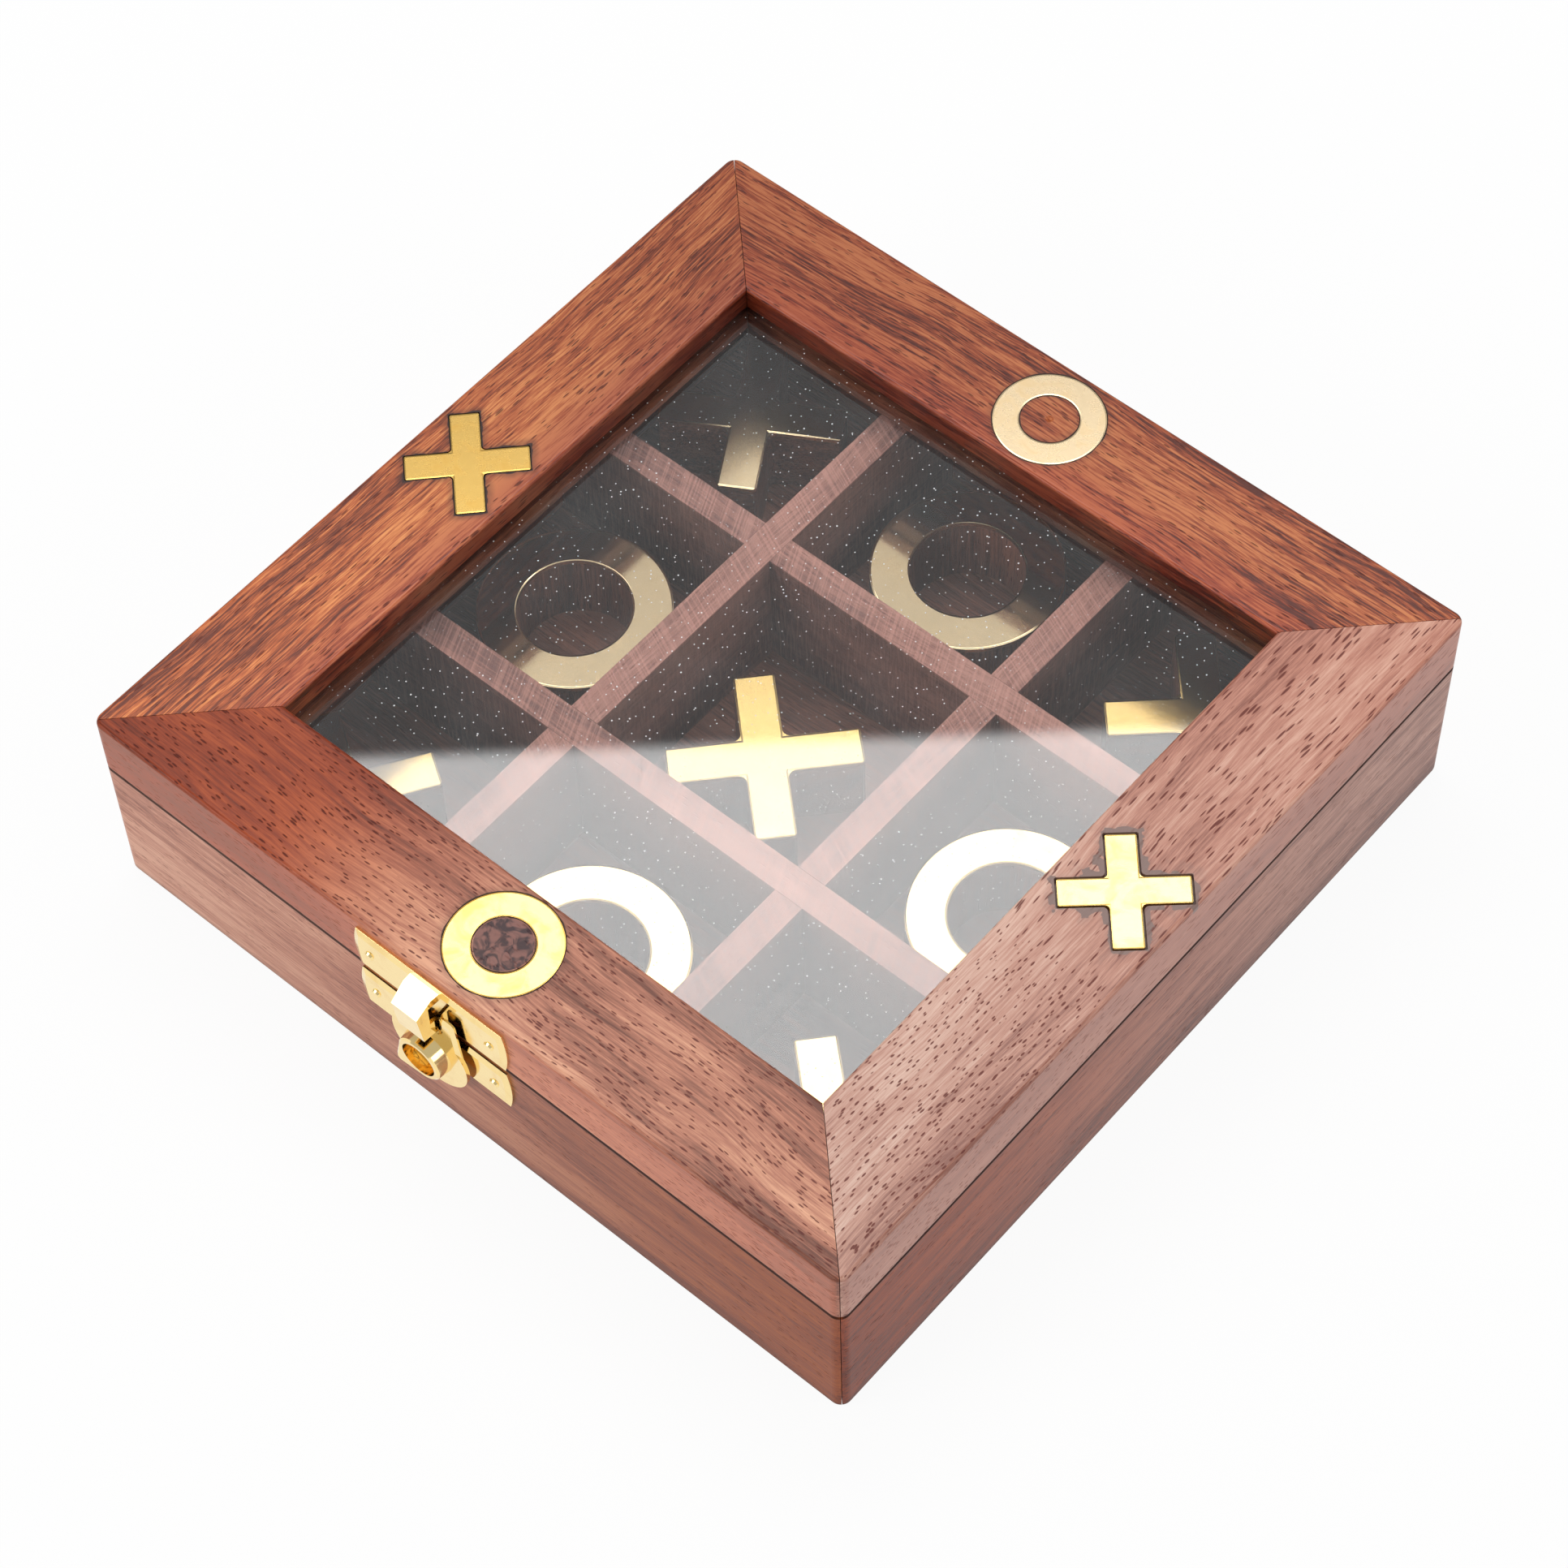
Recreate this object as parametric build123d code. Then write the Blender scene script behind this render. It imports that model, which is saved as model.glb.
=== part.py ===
from build123d import *
import os
from math import acos, degrees, hypot, radians, tan

# A wooden noughts and crosses box with a hinged glass lid, in millimetres.
# The origin is the centre of the underside, +Z is up, and the clasp is on the -Y side.

# Box and lid
BOX_W = 152.0
BOX_D = 152.0
BASE_H = 29.2
LID_H = 11.8
SEAM_GAP = 0.2
WALL_T = 8.0
RAIL_W = 21.2
CORNER_R = 2.0
BOTTOM_EASE = 1.0
TOP_EASE = 0.7
SEAM_EASE = 0.3
MITRE_GAP = 0.1
GLUE_GAP = 0.05

# Floor panel, let into the walls from below
FLOOR_T = 4.0
FLOOR_LAP = 4.0

# Dividers, halved into each other and housed in the walls
DIVIDER_T = 5.4
DIVIDER_DROP = 0.2
HOUSING_DEPTH = 2.0

# Glass and the beads that hold it from below
GLASS_T = 2.5
GLASS_DEPTH = 4.4
GLASS_LAP = 5.0
GLASS_GAP = 0.3

# Playing pieces: a wooden block with a brass face of the same outline
BLOCK_H = 13.0
FACE_T = 0.8
RING_R = 16.2
RING_HOLE_R = 9.6
CROSS_SPAN = 31.6
CROSS_ARM = 6.7
CROSS_FILLET = 1.4
CROSS_TIP_EASE = 0.4

# Brass inlays in the lid
INLAY_T = 1.0
INLAY_RING_R = 9.3
INLAY_RING_HOLE_R = 5.0
INLAY_CROSS_SPAN = 20.3
INLAY_CROSS_ARM = 4.8
INLAY_CROSS_FILLET = 0.8
INLAY_TIP_EASE = 0.2
CENTRE_MARK_R = 0.7
CENTRE_MARK_DEPTH = 0.5

# Clasp plates, seen from the front of the box
CLASP_X = -4.1
PLATE_L = 31.2
PLATE_T = 0.8
PLATE_BOW = 0.7
PLATE_BEVEL_W = 1.1
PLATE_BEVEL_H = 0.4
LID_PLATE_H = 9.8
LID_PLATE_RISE = 0.4
BASE_PLATE_H = 9.5
BASE_PLATE_DROP = 0.7
NAIL_SPACING = 24.6
NAIL_R = 0.6
NAIL_HEAD_R = 0.95
NAIL_HEAD_TOP_R = 0.7
NAIL_HEAD_H = 0.35
NAIL_LENGTH = 5.5

# Hood on the lid plate, a pressed pocket that is open below
HOOD_TOP_DROP = 0.7
HOOD_H = 9.0
HOOD_SHELF_OUT = 1.5
HOOD_OUT = 4.6
HOOD_BROW_DROP = 2.1
HOOD_LIP_BACK = 0.8
HOOD_ROOT_W = 5.8
HOOD_FRONT_W = 5.2
HOOD_SHIFT = -0.5
HOOD_WALL = 0.6
HOOD_NOTCH_LOW = 3.2
HOOD_NOTCH_H = 4.2
HOOD_NOTCH_OUT = 2.2

# Half-moon latch that turns on a rivet
LATCH_R = 7.8
LATCH_T = 0.7
LATCH_RAISE = 0.7
LATCH_HUB_R = 3.2
LATCH_HUB_GAP = 0.1
HORN_CLEAR = 0.6
HORN_REACH = 12.4
HORN_TOP_W = 3.0
HORN_FOOT_W = 4.2
HORN_FOOT_RISE = 0.8
HORN_TIP_R = 0.9
HORN_BEVEL_W = 0.8
HORN_BEVEL_H = 0.4
KNOB_R = 4.6
KNOB_POINT_R = 1.4
KNOB_POINT_OUT = 5.4
KNOB_POINT_ANGLE = 222.0
KNOB_H = 2.5
KNOB_TAPER = 9.0
KNOB_RIM = 0.9
KNOB_EASE = 0.3
WELL_R = 2.5
RIVET_DROP = 1.5
RIVET_R = 1.0
RIVET_HEAD_R = 1.9
RIVET_HEAD_TOP_R = 1.5
RIVET_HEAD_H = 0.6
RIVET_LENGTH = 6.0
RIVET_CUT_W = 0.25
RIVET_CUT_DEPTH = 0.2
RUNNING_GAP = 0.05

# Butt hinges at the back
HINGE_INSET = 28.0
HINGE_L = 22.0
LEAF_W = 7.0
LEAF_T = 0.8
LEAF_LIFT = 0.05
BARREL_R = 1.5
BARREL_GAP = 0.12
PIN_R = 0.6
PIN_HEAD_R = 1.1
PIN_HEAD_H = 0.5
KNUCKLE_GAP = 0.15
KNUCKLE_SHARE = 0.36
SCREW_SPACING = 13.0
SCREW_R = 0.8
SCREW_HEAD_R = 1.5
SCREW_LENGTH = 6.0

# Heights and lines that follow from the sizes above
LID_Z = BASE_H + SEAM_GAP
TOP_Z = LID_Z + LID_H
CELL_W = (BOX_W - 2 * WALL_T - 2 * DIVIDER_T) / 3
CELL_D = (BOX_D - 2 * WALL_T - 2 * DIVIDER_T) / 3
PITCH_X = CELL_W + DIVIDER_T
PITCH_Y = CELL_D + DIVIDER_T
DIVIDER_Z = BASE_H - DIVIDER_DROP
GLASS_Z = TOP_Z - GLASS_DEPTH - GLASS_T
FRONT_Y = -BOX_D / 2
PLATE_Y = FRONT_Y - PLATE_T
LID_PLATE_Z = LID_Z + LID_PLATE_RISE
BASE_PLATE_Z = BASE_H - BASE_PLATE_DROP - BASE_PLATE_H
RIVET_Z = BASE_PLATE_Z + BASE_PLATE_H / 2 - RIVET_DROP
LATCH_Y = PLATE_Y - LATCH_RAISE
PIN_Y = BOX_D / 2 + BARREL_GAP + BARREL_R
PIN_Z = BASE_H + SEAM_GAP / 2
SCREW_Y = BOX_D / 2 - LEAF_W / 2
LID_NAIL_Z = LID_PLATE_Z + LID_PLATE_H / 2
BASE_NAIL_Z = BASE_PLATE_Z + BASE_PLATE_H / 2
LEAF_TOP_Z = BASE_H + LEAF_LIFT
LEAF_LOW_Z = LID_Z - LEAF_LIFT
OVERCUT = 1.0
SIDES = ("front", "right", "back", "left")

# Which divider lies on top at each crossing: (X-running, Y-running) and the upper one
CROSSINGS = {
    ("front", "left"): "x",
    ("front", "right"): "x",
    ("back", "left"): "y",
    ("back", "right"): "x",
}

# The pieces as they lie: column, row, kind, turn in degrees, and the place in the cell
# as a share of the play that the piece has to the right and to the back
PLACES = {
    "cross_back_left": (-1, 1, "cross", 30.9, -0.37, 0.31),
    "ring_back": (0, 1, "ring", 0.0, -0.05, -0.12),
    "cross_back_right": (1, 1, "cross", 42.8, 0.0, 0.27),
    "ring_left": (-1, 0, "ring", 0.0, 0.49, -0.14),
    "cross_centre": (0, 0, "cross", 47.4, -0.37, -0.62),
    "ring_right": (1, 0, "ring", 0.0, -0.04, -0.27),
    "cross_front_left": (-1, -1, "cross", 57.6, -0.39, -0.93),
    "ring_front": (0, -1, "ring", 0.0, 0.28, -0.27),
    "cross_front_right": (1, -1, "cross", 48.3, 0.60, -0.16),
}

# Inlays: kind, distance along the rail from its middle, distance outwards from the rail's
# centre line, turn in degrees, and the width of the filler line round it
INLAYS = {
    "front": ("ring", 0.9, -0.5, 0.0, 0.12),
    "right": ("cross", 1.9, 0.7, 41.8, 0.35),
    "back": ("ring", 1.0, 0.0, 0.0, 0.12),
    "left": ("cross", -1.6, 0.1, 46.0, 0.18),
}


def block(x0, x1, y0, y1, z0, z1):
    """A box between two corners."""
    return Pos((x0 + x1) / 2, (y0 + y1) / 2, (z0 + z1) / 2) * Box(x1 - x0, y1 - y0, z1 - z0)


def frame_ring(outer_w, outer_d, width, z0, z1):
    """A square-cornered ring of the given wall width."""
    solid = block(-outer_w / 2, outer_w / 2, -outer_d / 2, outer_d / 2, z0, z1)
    hole_w = outer_w / 2 - width
    hole_d = outer_d / 2 - width
    return solid - block(-hole_w, hole_w, -hole_d, hole_d, z0 - OVERCUT, z1 + OVERCUT)


def mitre_split(ring, outer_w, outer_d, width):
    """Cuts a ring into four bars at its corners, with the mitre gap between them."""
    reach = width + OVERCUT
    box = ring.bounding_box()
    height = box.max.Z - box.min.Z + 2 * OVERCUT
    back = MITRE_GAP / 2 * 2 ** 0.5
    bars = {}
    for index, side in enumerate(SIDES):
        along, across = (outer_w, outer_d) if index % 2 == 0 else (outer_d, outer_w)
        out = across / 2 + OVERCUT
        half = along / 2 + OVERCUT - back
        outline = Polygon(
            (-half, -out), (half, -out), (half - reach - OVERCUT, -out + reach + OVERCUT),
            (-half + reach + OVERCUT, -out + reach + OVERCUT), align=None)
        wedge = Pos(0, 0, box.min.Z - OVERCUT) * extrude(outline, amount=height)
        bars[side] = ring & (Rot(0, 0, 90 * index) * wedge)
    return bars


def side_place(side, along, outwards, rail):
    """The plan position of a point on one side of the lid, on the rail's centre line."""
    line_w = BOX_W / 2 - rail / 2 + outwards
    line_d = BOX_D / 2 - rail / 2 + outwards
    spots = {"front": (along, -line_d), "right": (line_w, along),
             "back": (along, line_d), "left": (-line_w, along)}
    return spots[side]


def ring_outline(outer, inner, gap=0.0):
    """A flat ring, grown by a gap on both edges."""
    return Circle(outer + gap) - Circle(inner - gap)


def cross_outline(span, arm, fillet_r, tip_ease, gap=0.0):
    """A cross of two bars along X and Y with eased corners, grown by a gap."""
    long_side = span + 2 * gap
    short_side = arm + 2 * gap
    cross = Rectangle(long_side, short_side) + Rectangle(short_side, long_side)
    inner = [v for v in cross.vertices() if hypot(v.X, v.Y) < short_side]
    cross = fillet(inner, fillet_r)
    tips = [v for v in cross.vertices() if hypot(v.X, v.Y) > long_side / 2]
    return chamfer(tips, tip_ease)


def inlay_outline(kind, gap=0.0):
    """The outline of one brass inlay, or of its pocket with a gap."""
    if kind == "ring":
        return ring_outline(INLAY_RING_R, INLAY_RING_HOLE_R, gap)
    return cross_outline(INLAY_CROSS_SPAN, INLAY_CROSS_ARM, INLAY_CROSS_FILLET, INLAY_TIP_EASE, gap)


def inlay_solid(side, pocket=False):
    """A brass inlay at its place in the lid, or the pocket it lies in."""
    kind, along, outwards, turn, line = INLAYS[side]
    x, y = side_place(side, along, outwards, RAIL_W)
    gap = line if pocket else 0.0
    depth = INLAY_T + (GLUE_GAP if pocket else 0.0)
    height = depth + (OVERCUT if pocket else 0.0)
    return Pos(x, y, TOP_Z - depth) * Rot(0, 0, turn) * extrude(inlay_outline(kind, gap), amount=height)


def front_disc(x, z, radius, y_front, y_back):
    """A round bar along Y between two distances."""
    return Pos(x, (y_front + y_back) / 2, z) * Rot(90, 0, 0) * Cylinder(radius, y_back - y_front)


def nail_places(z):
    """The two nail positions of a clasp plate at a height."""
    return [(CLASP_X - NAIL_SPACING / 2, z), (CLASP_X + NAIL_SPACING / 2, z)]


def hinge_middle(side):
    """The X position of a hinge's middle."""
    return (BOX_W / 2 - HINGE_INSET) * (1 if side == "right" else -1)


def screw_places(side):
    """The X positions of the screws in the leaves of one hinge."""
    return [hinge_middle(side) - SCREW_SPACING / 2, hinge_middle(side) + SCREW_SPACING / 2]


def leaf_pocket(side, z0, z1):
    """The shallow recess that a hinge leaf is let into."""
    middle = hinge_middle(side)
    half = HINGE_L / 2 + GLUE_GAP
    return block(middle - half, middle + half, BOX_D / 2 - LEAF_W - GLUE_GAP,
                 BOX_D / 2 + OVERCUT, z0, z1)


def screw_shank_hole(x, z0, z1):
    """The pilot hole of one hinge screw in the wood."""
    return Pos(x, SCREW_Y, (z0 + z1) / 2) * Cylinder(SCREW_R + GLUE_GAP, z1 - z0)


def base_walls():
    """Four mitred walls with the floor rebate, divider housings and hardware seats."""
    ring = frame_ring(BOX_W, BOX_D, WALL_T, 0, BASE_H)
    corners = [e for e in ring.edges().filter_by(Axis.Z)
               if abs(e.center().X) > BOX_W / 2 - GLUE_GAP]
    ring = fillet(corners, CORNER_R)
    ring = fillet(ring.faces().sort_by(Axis.Z)[0].outer_wire().edges(), BOTTOM_EASE)
    ring = chamfer(ring.faces().sort_by(Axis.Z)[-1].outer_wire().edges(), SEAM_EASE)
    rebate_w = BOX_W / 2 - WALL_T + FLOOR_LAP
    rebate_d = BOX_D / 2 - WALL_T + FLOOR_LAP
    ring -= block(-rebate_w, rebate_w, -rebate_d, rebate_d, -OVERCUT, FLOOR_T)
    half = DIVIDER_T / 2 + GLUE_GAP
    deep_w = BOX_W / 2 - WALL_T + HOUSING_DEPTH
    deep_d = BOX_D / 2 - WALL_T + HOUSING_DEPTH
    for sign in (-1, 1):
        x = sign * PITCH_X / 2
        y = sign * PITCH_Y / 2
        ring -= block(x - half, x + half, -deep_d, deep_d, FLOOR_T, BASE_H + OVERCUT)
        ring -= block(-deep_w, deep_w, y - half, y + half, FLOOR_T, BASE_H + OVERCUT)
    for side in ("left", "right"):
        ring -= leaf_pocket(side, LEAF_TOP_Z - LEAF_T - GLUE_GAP, BASE_H + OVERCUT)
        for x in screw_places(side):
            ring -= screw_shank_hole(x, BASE_H - SCREW_LENGTH - GLUE_GAP, BASE_H)
    for x, z in nail_places(BASE_NAIL_Z):
        ring -= front_disc(x, z, NAIL_R + GLUE_GAP, FRONT_Y - OVERCUT,
                           PLATE_Y + NAIL_LENGTH + GLUE_GAP)
    ring -= front_disc(CLASP_X, RIVET_Z, RIVET_R + GLUE_GAP, FRONT_Y - OVERCUT,
                       LATCH_Y + RIVET_LENGTH + GLUE_GAP)
    return mitre_split(ring, BOX_W, BOX_D, WALL_T)


def floor_panel():
    """The thin board in the rebate of the walls, flush with their underside."""
    half_w = BOX_W / 2 - WALL_T + FLOOR_LAP - GLUE_GAP
    half_d = BOX_D / 2 - WALL_T + FLOOR_LAP - GLUE_GAP
    return block(-half_w, half_w, -half_d, half_d, 0, FLOOR_T)


def divider(run, name):
    """One divider strip, halved where it crosses the two that run the other way."""
    sign = 1 if name in ("back", "right") else -1
    middle_z = (FLOOR_T + DIVIDER_Z) / 2
    half = DIVIDER_T / 2
    slot = half + GLUE_GAP
    if run == "x":
        y = sign * PITCH_Y / 2
        reach = BOX_W / 2 - WALL_T + HOUSING_DEPTH - GLUE_GAP
        strip = block(-reach, reach, y - half, y + half, FLOOR_T, DIVIDER_Z)
    else:
        x = sign * PITCH_X / 2
        reach = BOX_D / 2 - WALL_T + HOUSING_DEPTH - GLUE_GAP
        strip = block(x - half, x + half, -reach, reach, FLOOR_T, DIVIDER_Z)
    for (row, column), upper in CROSSINGS.items():
        if name not in (row if run == "x" else column):
            continue
        x = PITCH_X / 2 * (1 if column == "right" else -1)
        y = PITCH_Y / 2 * (1 if row == "back" else -1)
        over = upper == run
        z0 = FLOOR_T - OVERCUT if over else middle_z - GLUE_GAP / 2
        z1 = middle_z + GLUE_GAP / 2 if over else DIVIDER_Z + OVERCUT
        strip -= block(x - slot, x + slot, y - slot, y + slot, z0, z1)
    return strip


def lid_rails():
    """Four mitred rails with the glass rebate, inlay pockets and hardware seats."""
    ring = frame_ring(BOX_W, BOX_D, RAIL_W, LID_Z, TOP_Z)
    corners = [e for e in ring.edges().filter_by(Axis.Z)
               if abs(e.center().X) > BOX_W / 2 - GLUE_GAP]
    ring = fillet(corners, CORNER_R)
    top = ring.faces().sort_by(Axis.Z)[-1]
    ring = fillet(top.outer_wire().edges() + top.inner_wires()[0].edges(), TOP_EASE)
    ring = chamfer(ring.faces().sort_by(Axis.Z)[0].outer_wire().edges(), SEAM_EASE)
    lap_w = BOX_W / 2 - RAIL_W + GLASS_LAP
    lap_d = BOX_D / 2 - RAIL_W + GLASS_LAP
    ring -= block(-lap_w, lap_w, -lap_d, lap_d, LID_Z - OVERCUT, TOP_Z - GLASS_DEPTH)
    for side in SIDES:
        ring -= inlay_solid(side, pocket=True)
    x, y = side_place("back", INLAYS["back"][1], INLAYS["back"][2], RAIL_W)
    mark = Cone(0, CENTRE_MARK_R, CENTRE_MARK_DEPTH, align=(Align.CENTER, Align.CENTER, Align.MAX))
    ring -= Pos(x, y, TOP_Z) * mark
    for side in ("left", "right"):
        ring -= leaf_pocket(side, LID_Z - OVERCUT, LEAF_LOW_Z + LEAF_T + GLUE_GAP)
        for screw_x in screw_places(side):
            ring -= screw_shank_hole(screw_x, LID_Z, LID_Z + SCREW_LENGTH + GLUE_GAP)
    for nail_x, nail_z in nail_places(LID_NAIL_Z):
        ring -= front_disc(nail_x, nail_z, NAIL_R + GLUE_GAP, FRONT_Y - OVERCUT,
                           PLATE_Y + NAIL_LENGTH + GLUE_GAP)
    return mitre_split(ring, BOX_W, BOX_D, RAIL_W)


def glass_pane():
    """The pane, which lies against the top of the rebate."""
    half_w = BOX_W / 2 - RAIL_W + GLASS_LAP - GLASS_GAP
    half_d = BOX_D / 2 - RAIL_W + GLASS_LAP - GLASS_GAP
    return block(-half_w, half_w, -half_d, half_d, GLASS_Z, GLASS_Z + GLASS_T)


def glass_beads():
    """Four mitred beads that fill the rebate below the pane."""
    outer_w = BOX_W - 2 * RAIL_W + 2 * GLASS_LAP - 2 * GLUE_GAP
    outer_d = BOX_D - 2 * RAIL_W + 2 * GLASS_LAP - 2 * GLUE_GAP
    width = GLASS_LAP - GLUE_GAP
    ring = frame_ring(outer_w, outer_d, width, LID_Z, GLASS_Z - GLUE_GAP)
    low = ring.faces().sort_by(Axis.Z)[0].inner_wires()[0].edges()
    ring = chamfer(low, GLASS_LAP / 5)
    return mitre_split(ring, outer_w, outer_d, width)


def plate_outline(height):
    """A clasp plate seen from the front, with bowed ends."""
    half_h = height / 2
    half_l = PLATE_L / 2
    corner = half_l - PLATE_BOW
    top = Line((-corner, half_h), (corner, half_h))
    right = ThreePointArc((corner, half_h), (half_l, 0), (corner, -half_h))
    bottom = Line((corner, -half_h), (-corner, -half_h))
    left = ThreePointArc((-corner, -half_h), (-half_l, 0), (-corner, half_h))
    return make_face([top, right, bottom, left])


def to_front(shape, x, z, y=FRONT_Y):
    """Stands a shape drawn in X and Y up against the front, its Z pointing outwards."""
    return Pos(x, y, z) * Rot(90, 0, 0) * shape


def clasp_plate(height, z0, nail_z):
    """A clasp plate with a bevelled border and its nail holes."""
    plate = extrude(plate_outline(height), amount=PLATE_T)
    rim = plate.faces().sort_by(Axis.Z)[-1].edges()
    face = plate.faces().sort_by(Axis.Z)[-1]
    plate = chamfer(rim, length=PLATE_BEVEL_W, length2=PLATE_BEVEL_H, reference=face)
    plate = to_front(plate, CLASP_X, z0 + height / 2)
    for x, z in nail_places(nail_z):
        plate -= front_disc(x, z, NAIL_R + GLUE_GAP, PLATE_Y - OVERCUT, FRONT_Y + OVERCUT)
    return plate


def hood_form(inset):
    """The hood's outer form, or with an inset the hollow inside it."""
    top = LID_PLATE_Z + LID_PLATE_H - HOOD_TOP_DROP - inset
    low = LID_PLATE_Z + LID_PLATE_H - HOOD_TOP_DROP - HOOD_H - (OVERCUT if inset else 0.0)
    shelf = PLATE_Y - HOOD_SHELF_OUT + inset
    brow = PLATE_Y - HOOD_OUT + inset
    lip = brow + HOOD_LIP_BACK
    root = PLATE_Y if inset else PLATE_Y + PLATE_T / 2
    profile = Plane.YZ * Polygon(
        (root, low), (lip, low), (brow, top - HOOD_BROW_DROP), (shelf, top), (root, top), align=None)
    half_root = HOOD_ROOT_W / 2 - inset
    half_front = HOOD_FRONT_W / 2 - inset
    side = extrude(profile, amount=half_root, both=True)
    plan = Polygon(
        (-half_root, root), (-half_root, PLATE_Y), (-half_front, brow), (half_front, brow),
        (half_root, PLATE_Y), (half_root, root), align=None)
    column = Pos(0, 0, low) * extrude(plan, amount=top - low)
    return Pos(CLASP_X + HOOD_SHIFT, 0, 0) * (side & column)


def clasp_lid_plate():
    """The upper plate with its hood and the notch that the horn turns into."""
    plate = clasp_plate(LID_PLATE_H, LID_PLATE_Z, LID_NAIL_Z)
    plate = plate + hood_form(0.0) - hood_form(HOOD_WALL)
    notch_z = LID_PLATE_Z + LID_PLATE_H - HOOD_TOP_DROP - HOOD_H + HOOD_NOTCH_LOW
    notch = block(CLASP_X, CLASP_X + HOOD_ROOT_W, PLATE_Y - HOOD_NOTCH_OUT, PLATE_Y,
                  notch_z, notch_z + HOOD_NOTCH_H)
    return plate - notch


def clasp_base_plate():
    """The lower plate, with the rivet's hole."""
    plate = clasp_plate(BASE_PLATE_H, BASE_PLATE_Z, BASE_NAIL_Z)
    return plate - front_disc(CLASP_X, RIVET_Z, RIVET_R + GLUE_GAP, PLATE_Y - OVERCUT,
                              FRONT_Y + OVERCUT)


def nail(x, z):
    """A small nail with a low sloping head, driven in along Y."""
    shank = front_disc(x, z, NAIL_R, PLATE_Y, PLATE_Y + NAIL_LENGTH)
    head = Cone(NAIL_HEAD_R, NAIL_HEAD_TOP_R, NAIL_HEAD_H,
                align=(Align.CENTER, Align.CENTER, Align.MIN))
    return shank + to_front(head, x, z, PLATE_Y)


def nails(z):
    """The two nails of a plate."""
    return Compound([nail(x, place_z) for x, place_z in nail_places(z)])


def horn():
    """The horn that rises beside the hood, bevelled along its outer edge, in the latch's plane."""
    inner = HOOD_ROOT_W / 2 + HOOD_SHIFT + HORN_CLEAR
    outer_top = inner + HORN_TOP_W
    outer_foot = inner + HORN_FOOT_W
    outline = Polygon(
        (inner, 0), (outer_foot, HORN_FOOT_RISE), (outer_top, HORN_REACH), (inner, HORN_REACH),
        align=None)
    outline = fillet(outline.vertices().sort_by(Axis.Y)[-2:], HORN_TIP_R)
    solid = extrude(outline, amount=LATCH_T)
    face = solid.faces().sort_by(Axis.Z)[-1]
    edge = face.edges().sort_by(Axis.X)[-1]
    return chamfer(edge, length=HORN_BEVEL_W, length2=HORN_BEVEL_H, reference=face)


def knob_outline():
    """A large and a small circle joined by their outer tangents."""
    turn = KNOB_POINT_ANGLE
    tangent = degrees(acos((KNOB_R - KNOB_POINT_R) / KNOB_POINT_OUT))
    middle = Vector(KNOB_POINT_OUT, 0).rotate(Axis.Z, turn)
    upper = Vector(1, 0).rotate(Axis.Z, turn + tangent)
    lower = Vector(1, 0).rotate(Axis.Z, turn - tangent)
    web = Polygon(lower * KNOB_R, middle + lower * KNOB_POINT_R,
                  middle + upper * KNOB_POINT_R, upper * KNOB_R, align=None)
    return Circle(KNOB_R) + Pos(middle) * Circle(KNOB_POINT_R) + web


def turn_latch():
    """The half-moon latch with its horn, its hollow finger knob and the well of the rivet."""
    back = LATCH_RAISE
    front = back + LATCH_T
    latch = Pos(0, 0, back) * (extrude(Circle(LATCH_R), amount=LATCH_T) + horn())
    hub = Pos(0, 0, LATCH_HUB_GAP) * extrude(Circle(LATCH_HUB_R), amount=front - LATCH_HUB_GAP)
    knob = extrude(knob_outline(), amount=KNOB_H, taper=KNOB_TAPER)
    knob = chamfer(knob.faces().sort_by(Axis.Z)[-1].edges(), KNOB_EASE)
    latch = latch + hub + Pos(0, 0, front) * knob
    bowl_r = KNOB_R - KNOB_RIM - KNOB_H * tan(radians(KNOB_TAPER))
    latch -= Pos(0, 0, front) * extrude(Circle(bowl_r), amount=KNOB_H + OVERCUT)
    well = extrude(Circle(WELL_R), amount=KNOB_H + LATCH_T + OVERCUT)
    latch -= Pos(0, 0, LATCH_HUB_GAP + LATCH_T) * well
    latch -= Cylinder(RIVET_R + RUNNING_GAP, 4 * front)
    return to_front(latch, CLASP_X, RIVET_Z, PLATE_Y)


def clasp_rivet():
    """The rivet, with a cross cut in its head."""
    seat = PLATE_Y - LATCH_HUB_GAP - LATCH_T - RUNNING_GAP
    shank = front_disc(CLASP_X, RIVET_Z, RIVET_R, seat, seat + RIVET_LENGTH)
    head = Cone(RIVET_HEAD_R, RIVET_HEAD_TOP_R, RIVET_HEAD_H,
                align=(Align.CENTER, Align.CENTER, Align.MIN))
    cut = Rectangle(2 * RIVET_HEAD_R, RIVET_CUT_W) + Rectangle(RIVET_CUT_W, 2 * RIVET_HEAD_R)
    head -= Pos(0, 0, RIVET_HEAD_H - RIVET_CUT_DEPTH) * extrude(cut, amount=OVERCUT)
    return shank + to_front(head, CLASP_X, RIVET_Z, seat)


def barrel_stretches(side):
    """The X ranges of the two outer knuckles and of the middle one."""
    middle = hinge_middle(side)
    half = HINGE_L / 2
    inner = HINGE_L * KNUCKLE_SHARE / 2
    outer = [(middle - half, middle - inner - KNUCKLE_GAP),
             (middle + inner + KNUCKLE_GAP, middle + half)]
    return outer, [(middle - inner, middle + inner)]


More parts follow.
